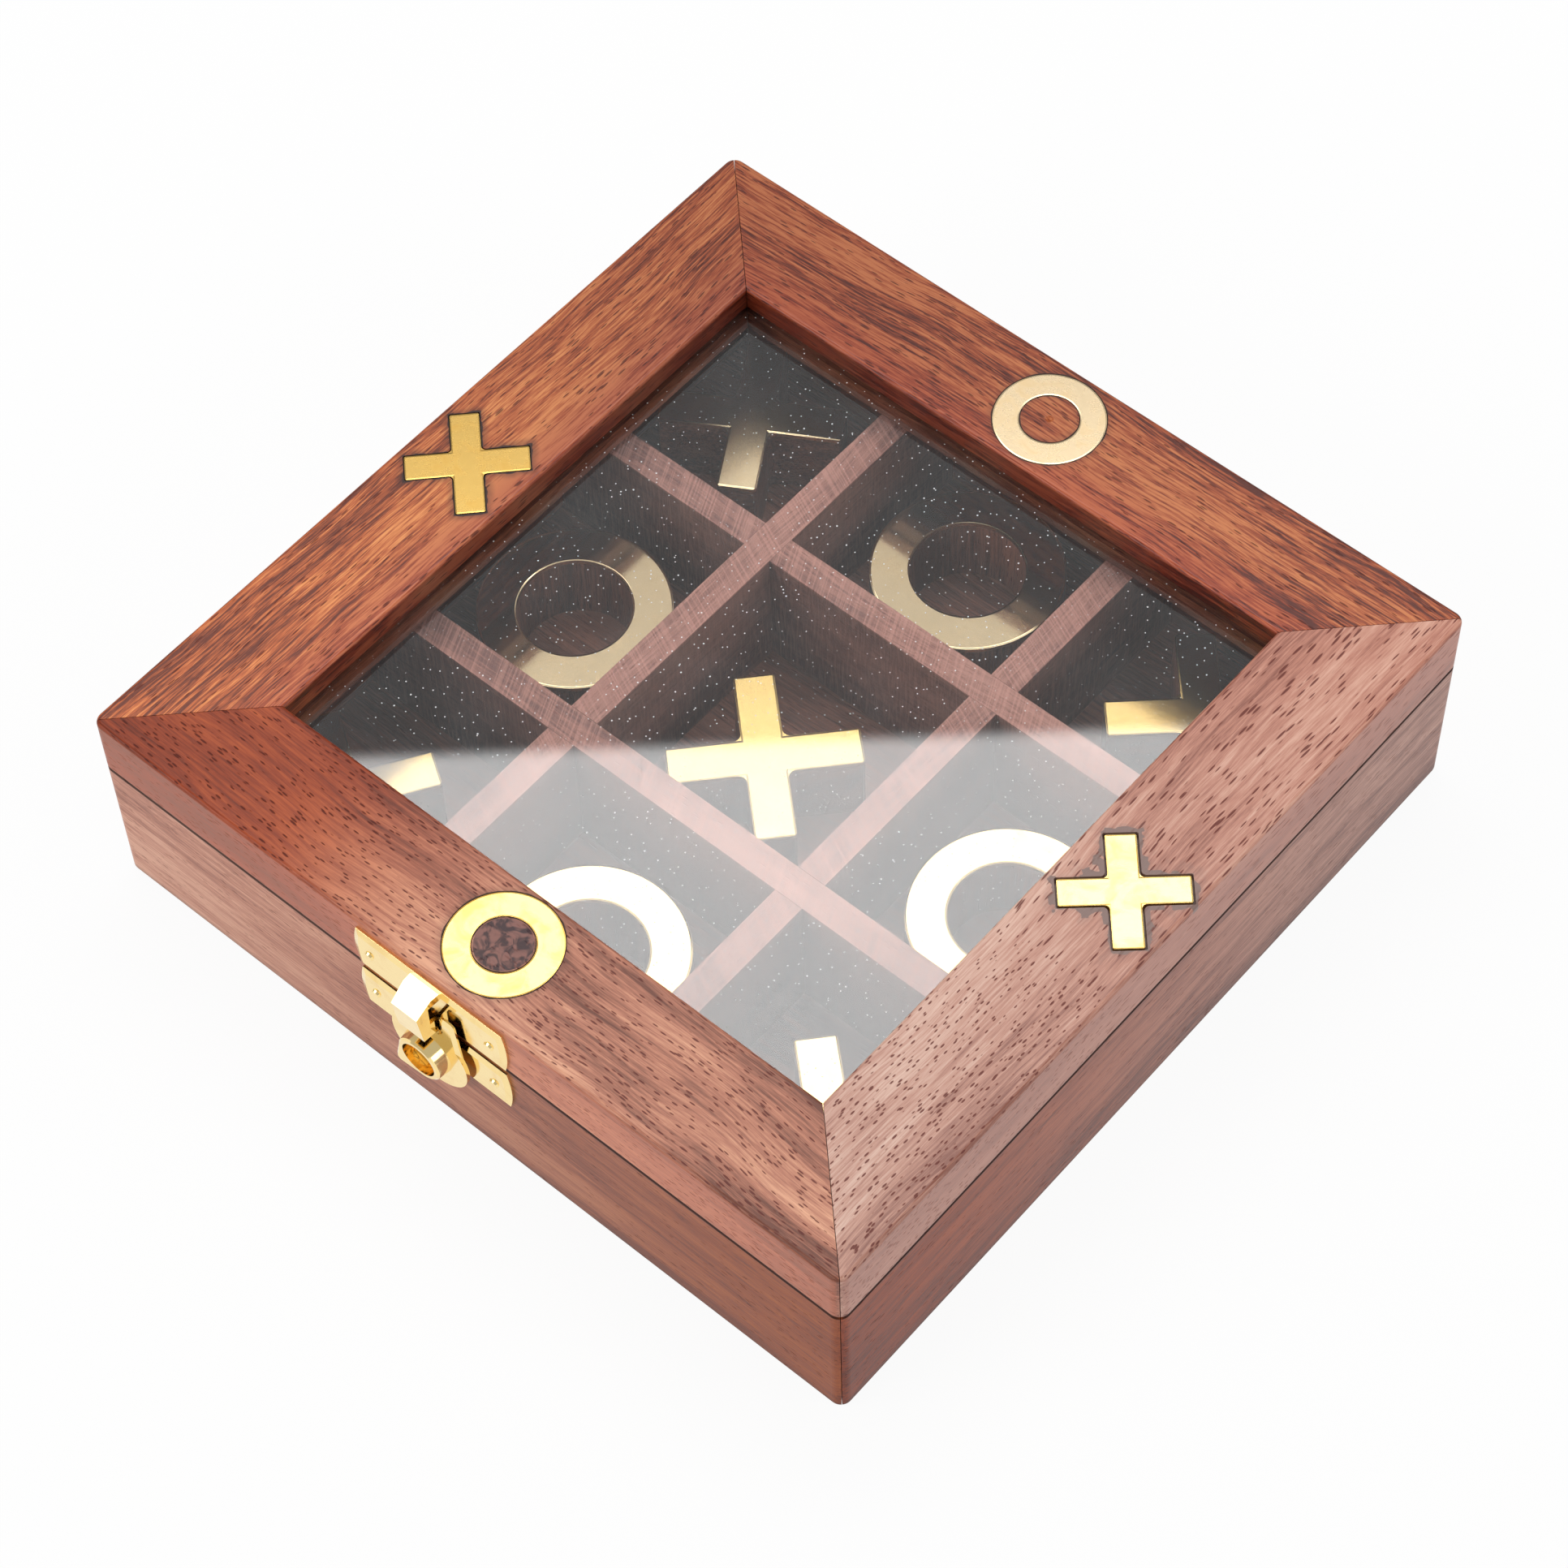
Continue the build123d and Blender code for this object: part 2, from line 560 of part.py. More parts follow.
def hinge_leaf(side, member):
    """One leaf with its knuckles and countersunk holes, for the base or the lid."""
    middle = hinge_middle(side)
    half = HINGE_L / 2
    outer, inner = barrel_stretches(side)
    base = member == "base"
    z0, z1 = (LEAF_TOP_Z - LEAF_T, LEAF_TOP_Z) if base else (LEAF_LOW_Z, LEAF_LOW_Z + LEAF_T)
    edge = BOX_D / 2
    leaf = block(middle - half, middle + half, edge - LEAF_W, edge, z0, z1)
    for x0, x1 in outer if base else inner:
        leaf += block(x0, x1, edge - LEAF_T, PIN_Y, z0, z1)
        leaf += Pos((x0 + x1) / 2, PIN_Y, PIN_Z) * Rot(0, 90, 0) * Cylinder(BARREL_R, x1 - x0)
    leaf -= Pos(middle, PIN_Y, PIN_Z) * Rot(0, 90, 0) * Cylinder(PIN_R + RUNNING_GAP, 2 * HINGE_L)
    for x in screw_places(side):
        leaf -= screw_form(x, member, GLUE_GAP)
    return leaf


def screw_form(x, member, gap=0.0):
    """A countersunk screw, or with a gap the hole it sits in."""
    cone_h = SCREW_HEAD_R - SCREW_R
    head = Cone(SCREW_R + gap, SCREW_HEAD_R + gap, cone_h,
                align=(Align.CENTER, Align.CENTER, Align.MAX))
    shank = Cylinder(SCREW_R + gap, SCREW_LENGTH, align=(Align.CENTER, Align.CENTER, Align.MAX))
    screw = head + shank
    if member == "base":
        return Pos(x, SCREW_Y, LEAF_TOP_Z) * screw
    return Pos(x, SCREW_Y, LEAF_LOW_Z) * Rot(180, 0, 0) * screw


def hinge_screws(member):
    """The four screws of both hinges in the base or in the lid."""
    return Compound([screw_form(x, member) for side in ("left", "right") for x in screw_places(side)])


def hinge_pin(side):
    """The pin through the knuckles, with a low head at each end."""
    half = HINGE_L / 2 + KNUCKLE_GAP
    pin = Rot(0, 90, 0) * Cylinder(PIN_R, 2 * half + 2 * PIN_HEAD_H)
    for sign in (-1, 1):
        head = Rot(0, 90, 0) * Cylinder(PIN_HEAD_R, PIN_HEAD_H)
        pin += Pos(sign * (half + PIN_HEAD_H / 2), 0, 0) * head
    return Pos(hinge_middle(side), PIN_Y, PIN_Z) * pin


def piece_outline(kind):
    """The outline shared by a playing piece's block and its brass face."""
    if kind == "ring":
        return ring_outline(RING_R, RING_HOLE_R)
    return cross_outline(CROSS_SPAN, CROSS_ARM, CROSS_FILLET, CROSS_TIP_EASE)


def piece_reach(kind):
    """The radius that a piece sweeps when it is turned in its cell."""
    return RING_R if kind == "ring" else hypot(CROSS_SPAN / 2, CROSS_ARM / 2)


def piece_place(name):
    """Where a piece stands on the floor, and its turn."""
    column, row, kind, turn, share_x, share_y = PLACES[name]
    play_x = CELL_W / 2 - piece_reach(kind)
    play_y = CELL_D / 2 - piece_reach(kind)
    x = column * PITCH_X + share_x * play_x
    y = row * PITCH_Y + share_y * play_y
    return Pos(x, y, FLOOR_T) * Rot(0, 0, turn)


def playing_piece(name):
    """The wooden block and the brass face of one playing piece."""
    outline = piece_outline(PLACES[name][2])
    place = piece_place(name)
    wood = place * extrude(outline, amount=BLOCK_H)
    brass = place * Pos(0, 0, BLOCK_H) * extrude(outline, amount=FACE_T)
    return wood, brass


def export(name, solid):
    """Writes one piece to its own file."""
    export_step(solid, f"parts/{name}.step")


def main():
    """Builds every piece and writes it out."""
    os.makedirs("parts", exist_ok=True)
    for side, wall in base_walls().items():
        export(f"base_{side}_wall", wall)
    export("base_floor", floor_panel())
    for run, names in (("x", ("front", "back")), ("y", ("left", "right"))):
        for name in names:
            export(f"divider_{name}", divider(run, name))
    for side, rail in lid_rails().items():
        export(f"lid_{side}_rail", rail)
        export(f"lid_{side}_inlay", inlay_solid(side))
    for side, bead in glass_beads().items():
        export(f"glass_bead_{side}", bead)
    export("lid_glass", glass_pane())
    export("clasp_lid_plate", clasp_lid_plate())
    export("clasp_base_plate", clasp_base_plate())
    export("clasp_lid_nails", nails(LID_NAIL_Z))
    export("clasp_base_nails", nails(BASE_NAIL_Z))
    export("clasp_turn_latch", turn_latch())
    export("clasp_rivet", clasp_rivet())
    for side in ("left", "right"):
        for member in ("base", "lid"):
            export(f"hinge_{side}_{member}_leaf", hinge_leaf(side, member))
        export(f"hinge_{side}_pin", hinge_pin(side))
    for member in ("base", "lid"):
        export(f"hinge_{member}_screws", hinge_screws(member))
    for name in PLACES:
        wood, brass = playing_piece(name)
        export(f"{name}_block", wood)
        export(f"{name}_face", brass)


main()
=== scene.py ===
"""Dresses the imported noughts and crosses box: hardwood, brass, glass, studio light and camera.

Lengths are in millimetres wherever a name ends in _mm, and in metres where Blender takes them.
"""

from __future__ import annotations

import logging
import math
from collections.abc import Mapping, Sequence
from dataclasses import dataclass, field, replace
from enum import Enum
from typing import Any, Union

import bpy
import numpy as np
from mathutils import Matrix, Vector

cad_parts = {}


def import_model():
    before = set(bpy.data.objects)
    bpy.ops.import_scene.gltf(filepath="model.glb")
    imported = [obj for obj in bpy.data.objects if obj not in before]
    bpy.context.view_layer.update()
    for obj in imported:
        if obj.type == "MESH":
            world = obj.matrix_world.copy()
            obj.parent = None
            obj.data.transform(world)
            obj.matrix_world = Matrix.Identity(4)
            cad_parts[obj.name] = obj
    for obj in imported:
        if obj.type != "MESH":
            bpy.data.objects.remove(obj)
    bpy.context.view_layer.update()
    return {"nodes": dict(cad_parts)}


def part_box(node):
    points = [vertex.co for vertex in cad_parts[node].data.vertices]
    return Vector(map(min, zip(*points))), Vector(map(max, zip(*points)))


LOG = logging.getLogger("game_box")
MM = 0.001
Colour = tuple[float, float, float]
Stop = tuple[float, Colour]
Nodes = Mapping[str, bpy.types.Object]


def paint(red: int, green: int, blue: int) -> Colour:
    """Turns a display colour of 0 to 255 a channel into the linear colour that shaders take.

    Args:
        red: Red channel.
        green: Green channel.
        blue: Blue channel.

    Returns:
        The linear colour: c/12.92 for the darkest values, ((c + 0.055)/1.055)**2.4 above them.
    """
    shown = (red / 255, green / 255, blue / 255)
    return tuple(c / 12.92 if c <= 0.04045 else ((c + 0.055) / 1.055) ** 2.4 for c in shown)


class Term:
    """A socket whose value takes part in ordinary arithmetic."""

    def __init__(self, graph: Graph, socket: bpy.types.NodeSocket) -> None:
        """Keeps the socket and the tree it belongs to."""
        self.graph = graph
        self.socket = socket

    def _with(self, operation: str, first: Value, second: Value) -> Term:
        """Adds one Math node on two values."""
        return self.graph.node("ShaderNodeMath", {"operation": operation}, {0: first, 1: second})

    def __add__(self, other: Value) -> Term:
        """Sum."""
        return self._with("ADD", self, other)

    def __radd__(self, other: Value) -> Term:
        """Sum, reflected."""
        return self._with("ADD", other, self)

    def __sub__(self, other: Value) -> Term:
        """Difference."""
        return self._with("SUBTRACT", self, other)

    def __rsub__(self, other: Value) -> Term:
        """Difference, reflected."""
        return self._with("SUBTRACT", other, self)

    def __mul__(self, other: Value) -> Term:
        """Product."""
        return self._with("MULTIPLY", self, other)

    def __rmul__(self, other: Value) -> Term:
        """Product, reflected."""
        return self._with("MULTIPLY", other, self)

    def __truediv__(self, other: Value) -> Term:
        """Quotient."""
        return self._with("DIVIDE", self, other)

    def __abs__(self) -> Term:
        """Size without its sign."""
        return self._with("ABSOLUTE", self, 0.0)

    def least(self, other: Value) -> Term:
        """The smaller of two values."""
        return self._with("MINIMUM", self, other)

    def most(self, other: Value) -> Term:
        """The larger of two values."""
        return self._with("MAXIMUM", self, other)

    def root(self) -> Term:
        """Square root."""
        return self._with("SQRT", self, 0.0)


Value = Union[float, int, Term]
Place = tuple[Term, Term, Term]


class Graph:
    """A node tree whose sums are written as expressions."""

    def __init__(self, tree: bpy.types.NodeTree) -> None:
        """Keeps the tree and empties it."""
        self.tree = tree
        self.tree.nodes.clear()

    def node(self, kind: str, settings: Mapping[str, Any] | None = None,
             inputs: Mapping[int | str, Any] | None = None,
             output: int | str = 0) -> Term | None:
        """Adds any node.

        Args:
            kind: Type name of the node.
            settings: Attributes that are set first; "stops" holds a ramp's positions and colours.
            inputs: Values or terms for the sockets, by index or name.
            output: The socket to hand back, by index or name.

        Returns:
            The chosen output, or None where the node has none.
        """
        made = self.tree.nodes.new(kind)
        for key, value in (settings or {}).items():
            if key == "stops":
                self._fill(made.color_ramp, value)
            else:
                setattr(made, key, value)
        for key, value in (inputs or {}).items():
            if isinstance(value, Term):
                self.tree.links.new(value.socket, made.inputs[key])
            elif isinstance(value, tuple) and made.inputs[key].type == "RGBA":
                made.inputs[key].default_value = (*value, 1.0)
            else:
                made.inputs[key].default_value = value
        return Term(self, made.outputs[output]) if made.outputs else None

    @staticmethod
    def _fill(ramp: bpy.types.ColorRamp, stops: Sequence[Stop]) -> None:
        """Fills a ramp.

        Args:
            ramp: The ramp of a node.
            stops: Its positions and colours, from low to high.
        """
        while len(ramp.elements) < len(stops):
            ramp.elements.new(1.0)
        for element, (place, colour) in zip(ramp.elements, stops):
            element.position = place
            element.color = (*colour, 1.0)

    def place(self) -> Place:
        """The point on the object, in millimetres along X, Y and Z."""
        point = self.node("ShaderNodeTexCoord", output="Object")
        split = [self.node("ShaderNodeSeparateXYZ", inputs={0: point}, output=i) for i in range(3)]
        return tuple(s * (1.0 / MM) for s in split)

    def vector(self, x: Value, y: Value, z: Value) -> Term:
        """Joins three values into a vector."""
        return self.node("ShaderNodeCombineXYZ", inputs={0: x, 1: y, 2: z})

    def noise(self, at: Term, scale: float = 1.0, detail: float = 2.0, rough: float = 0.5,
              warp: float = 0.0) -> Term:
        """Cloudy noise from 0 to 1."""
        return self.node("ShaderNodeTexNoise", inputs={
            "Vector": at, "Scale": scale, "Detail": detail, "Roughness": rough, "Distortion": warp})

    def cells(self, at: Term, dimensions: str) -> Term:
        """The distance to the middle of the nearest cell, each cell about 1 wide."""
        return self.node(
            "ShaderNodeTexVoronoi", {"voronoi_dimensions": dimensions, "feature": "F1"},
            {"Vector": at, "Scale": 1.0}, output="Distance")

    def rise(self, value: Value, low: float, high: float, to_low: float = 0.0,
             to_high: float = 1.0) -> Term:
        """A smooth step from one level to another between two values."""
        return self.node("ShaderNodeMapRange", {"interpolation_type": "SMOOTHSTEP"}, {
            "Value": value, "From Min": low, "From Max": high, "To Min": to_low, "To Max": to_high})

    def mix(self, share: Value, first: Any, second: Any, way: str = "MIX") -> Term:
        """Mixes two colours by a share."""
        return self.node("ShaderNodeMix", {"data_type": "RGBA", "blend_type": way},
                         {0: share, 6: first, 7: second}, output=2)

    def tint(self, colour: Any, by: Any) -> Term:
        """Multiplies a colour by another."""
        return self.mix(1.0, colour, by, "MULTIPLY")

    def ramp(self, value: Term, stops: Sequence[Stop]) -> Term:
        """Turns a value into a colour."""
        return self.node("ShaderNodeValToRGB", {"stops": stops}, {0: value})

    def bump(self, height: Term, depth_mm: float, strength: float = 1.0,
             under: Term | None = None) -> Term:
        """Tilts the normal, or another bump.

        Args:
            height: Height from 0 to 1.
            depth_mm: What a height of 1 stands for.
            strength: Share of the tilt that is used.
            under: The normal of a bump below this one.

        Returns:
            The tilted normal.
        """
        below = {} if under is None else {"Normal": under}
        return self.node("ShaderNodeBump", inputs={
            "Strength": strength, "Distance": depth_mm * MM, "Height": height, **below})

    def principled(self, **inputs: Any) -> Term:
        """Adds a Principled shader; underscores in the names stand for spaces."""
        return self.node("ShaderNodeBsdfPrincipled",
                         inputs={key.replace("_", " "): value for key, value in inputs.items()})

    def either(self, share: Value, first: Term, second: Term) -> Term:
        """Mixes two shaders by a share."""
        return self.node("ShaderNodeMixShader", inputs={0: share, 1: first, 2: second})


class Finish(Graph):
    """The node tree of a new material."""

    def __init__(self, name: str) -> None:
        """Makes an empty material of that name."""
        self.material = bpy.data.materials.new(name)
        self.material.use_nodes = True
        super().__init__(self.material.node_tree)

    def done(self, shader: Term) -> bpy.types.Material:
        """Links the shader to the output and hands the material back."""
        self.node("ShaderNodeOutputMaterial", inputs={"Surface": shader})
        return self.material


class Grain(Enum):
    """The way the fibres of a board run."""

    ALONG_X = "x"
    ALONG_Y = "y"
    UPRIGHT = "z"


class Shade(Enum):
    """Where a board of the base lies in the shade of the lid."""

    INNER_FACE = "a wall's inner face"
    BELOW_TOP = "below a divider's upper edge"


class Outline(Enum):
    """The two signs of the game."""

    RING = "ring"
    CROSS = "cross"


@dataclass(frozen=True)
class BoxLines:
    """The faces and edges of the box that its finishes follow, in millimetres.

    The box is square and centred, so one half width holds for all four sides.
    """

    side: float
    hollow: float
    opening: float
    seam: float
    top: float
    divider: float

    @classmethod
    def read(cls) -> BoxLines:
        """Reads the lines from the frame.

        Returns:
            Half the width over the walls, between the walls and of the lid's opening, and the
            heights of the seam under the lid, the rails' top and the dividers' top.
        """
        wall_low, wall_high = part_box("base_back_wall")
        rail_low, rail_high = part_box("lid_back_rail")
        divider_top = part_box("divider_back")[1][2]
        return cls(side=wall_high[1] / MM, hollow=wall_low[1] / MM, opening=rail_low[1] / MM,
                   seam=(wall_high[2] + rail_low[2]) / 2 / MM, top=rail_high[2] / MM,
                   divider=divider_top / MM)


def middle(node: str) -> tuple[float, float]:
    """The middle of a CAD node seen from above, in millimetres."""
    low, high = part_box(node)
    return tuple((low[i] + high[i]) / 2 / MM for i in (0, 1))


@dataclass(frozen=True)
class Sign:
    """A ring or a cross that lies flat, as a brass piece or inlay has it."""

    outline: Outline
    x_mm: float
    y_mm: float
    turn: float = 0.0
    outer_mm: float = 9.3
    inner_mm: float = 5.0
    span_mm: float = 20.3
    arm_mm: float = 4.8

    def away(self, x: Term, y: Term) -> Term:
        """The distance from a point to the sign's edge, below zero on the brass.

        The distance to a ring is the larger of r - outer and inner - r. The distance to a cross
        is the smaller of the distances to its two bars, each max(|u| - half, |v| - half).

        Args:
            x: The point's X in millimetres.
            y: The point's Y in millimetres.

        Returns:
            The distance in millimetres.
        """
        dx, dy = x - self.x_mm, y - self.y_mm
        if self.outline is Outline.RING:
            radius = (dx * dx + dy * dy).root()
            return (radius - self.outer_mm).most(self.inner_mm - radius)
        c, s = math.cos(math.radians(self.turn)), math.sin(math.radians(self.turn))
        u, v = abs(dx * c + dy * s), abs(dy * c - dx * s)
        long, short = self.span_mm / 2, self.arm_mm / 2
        return (u - long).most(v - short).least((u - short).most(v - long))

    def heart(self, graph: Graph, x: Term, y: Term) -> Term:
        """The share of the disc inside a ring.

        Args:
            graph: The tree to add to.
            x: The point's X in millimetres.
            y: The point's Y in millimetres.

        Returns:
            1 over the disc, fading out just inside the ring's edge.
        """
        dx, dy = x - self.x_mm, y - self.y_mm
        full, none = self.inner_mm - 0.45, self.inner_mm - 0.25
        return graph.rise((dx * dx + dy * dy).root(), full, none, 1.0, 0.0)


@dataclass(frozen=True)
class Cloud:
    """Noise that is alike all ways, in turns per millimetre."""

    scale: float
    detail: float = 2.0
    rough: float = 0.5
    warp: float = 0.0

    def noise(self, at: Term) -> Term:
        """The noise at a point, from 0 to 1."""
        return at.graph.noise(at, self.scale, self.detail, self.rough, self.warp)


# Clouds in the finishes: a filler's edge, the flecks of a heart, tarnish, saw marks, dust and film
RAGGED_EDGE = Cloud(0.30, 3.0)
FLECKS = Cloud(0.34, warp=2.0)
TARNISH = Cloud(0.22, 4.0, 0.6, 0.8)
TARNISH_SPOTS = Cloud(1.4, 3.0, 0.6)
SAW_COMBS = Cloud(1.0, 1.0)
DUST_GROUPS = Cloud(0.05)
FILM = Cloud(0.08, 4.0, 0.6)


@dataclass(frozen=True)
class InlayMark:
    """What surrounds a brass sign on its rail: filler, stain, and the colour of a ring's heart.

    The filler is a line with a ragged edge. A heel, given by its span and arm, is a smaller and
    wider cross in the filler, where a cross's arms meet. The stain fades out beyond the filler.
    """

    sign: Sign
    filler: Colour
    line_mm: float
    ragged_mm: float
    stain: float = 0.25
    stain_mm: float = 1.6
    edge_mm: float = 0.14
    heart: Colour | None = None
    heart_share: float = 0.95
    fleck: Colour = paint(134, 92, 84)
    heel_mm: tuple[float, float] | None = None

    def paint_on(self, graph: Graph, x: Term, y: Term, on_top: Term, colour: Term) -> Term:
        """Paints the mark over the wood.

        Args:
            graph: The tree to add to.
            x: The point's X in millimetres.
            y: The point's Y in millimetres.
            on_top: Share of the rail's top face.
            colour: The wood's colour.

        Returns:
            The colour with the mark.
        """
        away = self.sign.away(x, y)
        if self.heel_mm is not None:
            span_mm, arm_mm = self.heel_mm
            away = away.least(replace(self.sign, span_mm=span_mm, arm_mm=arm_mm).away(x, y))
        flat = graph.vector(x, y, 0.0)
        ragged = graph.rise(RAGGED_EDGE.noise(flat), 0.40, 0.66, 0.0, self.ragged_mm)
        aura = graph.rise(away - ragged * 1.5, 0.0, self.stain_mm, self.stain, 0.0)
        line = graph.rise(away - ragged, self.line_mm, self.line_mm + self.edge_mm, 1.0, 0.0)
        colour = graph.mix(aura * on_top, colour, self.filler)
        colour = graph.mix(line * on_top, colour, self.filler)
        if self.heart is None:
            return colour
        dots = graph.mix(graph.rise(FLECKS.noise(flat), 0.40, 0.62), self.heart, self.fleck)
        share = self.sign.heart(graph, x, y) * on_top * self.heart_share
        return graph.mix(share, colour, dots)


@dataclass(frozen=True)
class Layer:
    """Noise drawn out one way, in turns per millimetre along, across and through a surface."""

    along: float
    across: float
    through: float
    detail: float = 2.0
    rough: float = 0.5

    def noise(self, place: Place, shift: float = 0.0) -> Term:
        """The noise at a place.

        Args:
            place: The place along, across and through the surface, in millimetres.
            shift: How far along its own pattern the layer starts.

        Returns:
            The noise, from 0 to 1.
        """
        along, across, through = place
        start = along * self.along + shift if shift else along * self.along
        at = along.graph.vector(start, across * self.across, through * self.through)
        return along.graph.noise(at, 1.0, self.detail, self.rough)


# The wood's layers, from the wandering of its grain down to its fibres and groups of pores
WANDER = Layer(0.014, 0.03, 0.03)
ZONES = Layer(0.012, 0.07, 0.08)
BANDS = Layer(0.022, 0.42, 0.42, 3.0, 0.6)
FIBRES = Layer(0.13, 2.7, 2.7, 3.0, 0.72)
PORE_GROUPS = Layer(0.05, 0.25, 0.25)
WANDER_MM = 9.0
SEED_STEP = 37.0

# How far zones, bands and fibres move the wood's figure, and where its three tones lie on it
ZONE_SWING = 1.1
BAND_SWING = 0.75
FIBRE_SWING = 1.25
DARK_AT = 0.26
MIDDLE_AT = 0.50
PALE_AT = 0.76

# What fibres and pores add to a board's roughness, and how deep they are cut
FIBRE_ROUGH = 0.18
PORE_ROUGH = 0.2
PORE_CUT = 0.8
FIBRE_CUT = 0.5
CUT_MM = 0.05
CUT_STRENGTH = 0.6

# The brass's layers: fine lines of the brush and wider strokes
BRUSH_LINES = Layer(0.35, 9.0, 9.0, 2.0, 0.6)
BRUSH_STROKES = Layer(0.9, 2.2, 2.2, 3.0, 0.6)


@dataclass(frozen=True)
class Pores:
    """Short dark dashes along the grain, one in each cell of the given length and width.

    Between the two ends of the patch the cells are only as long as the patch's own length, as
    where the grain runs out of the board.
    """

    length_mm: float = 4.6
    width_mm: float = 0.62
    size: float = 0.20
    grouping: float = 0.45
    share: float = 0.7
    colour: Colour = paint(72, 30, 20)
    patch_mm: tuple[float, float] | None = None
    patch_length_mm: float = 1.8

    def _cells_along(self, along: Term) -> Term:
        """The place along the grain, counted in cells.

        Args:
            along: The place along the grain in millimetres.

        Returns:
            The count, which grows faster over the patch.
        """
        cells = along / self.length_mm
        if self.patch_mm is None:
            return cells
        low, high = self.patch_mm
        extra = 1.0 / self.patch_length_mm - 1.0 / self.length_mm
        return cells + (along - low).most(0.0).least(high - low) * extra

    def hollow(self, place: Place, shift: float) -> Term:
        """The share of a pore at a place.

        Args:
            place: The place along, across and through the board, in millimetres.
            shift: Where in the log the board was cut.

        Returns:
            1 inside a pore, fading to 0 at its edge.
        """
        along, across, through = place
        g = along.graph
        at = g.vector(self._cells_along(along) + shift, across / self.width_mm,
                      through / self.width_mm)
        reach = (PORE_GROUPS.noise(place, shift) - 0.5) * self.grouping + self.size
        return g.rise(g.cells(at, "3D") / reach.most(0.02), 1.0, 0.62)


@dataclass(frozen=True)
class Tones:
    """The dark, middle and pale colours of a wood."""

    dark: Colour
    middle: Colour
    pale: Colour


ORANGE_RED = Tones(paint(94, 37, 20), paint(174, 85, 44), paint(216, 136, 80))
EARTH_BROWN = Tones(paint(94, 46, 30), paint(155, 87, 60), paint(196, 126, 88))
PINK_BROWN = Tones(paint(138, 84, 68), paint(192, 139, 119), paint(224, 186, 166))
FAWN_BROWN = Tones(paint(138, 82, 64), paint(176, 116, 94), paint(202, 148, 124))
DUSK_BROWN = Tones(paint(112, 76, 66), paint(150, 110, 96), paint(178, 140, 124))
SAWN_BROWN = Tones(paint(91, 54, 47), paint(124, 80, 69), paint(148, 103, 91))
SHADE_BROWN = Tones(paint(70, 36, 25), paint(104, 60, 44), paint(134, 82, 62))
# Colour of the painted shade in the seam under the lid and along the bottom edge of the walls
PAINTED_SHADE = paint(38, 16, 10)
LIP_SHADE = (0.50, 0.42, 0.44)

# Where tints start and are full, in millimetres beyond the line of the box that they follow
INNER_STRIP = (10.2, 0.7)
LIP_OUT = (1.1, 0.5)
LIP_DOWN = (-0.1, -1.0)
RAIL_TOP = (-1.7, -1.0)
RAIL_SIDE = (-0.5, -0.05)
RAIL_EDGE = (-0.8, -0.1)
# The next three set where the painted shade of the seam under the lid and of the walls' bottom edge
# starts and is full
SEAM_OUT = (-1.0, -0.2)
SEAM_HALF = (0.65, 0.30)
FOOT = (2.4, 0.3)
INNER_SHADE = (0.3, 0.0)
DIVIDER_SHADE = (-0.2, -0.5)


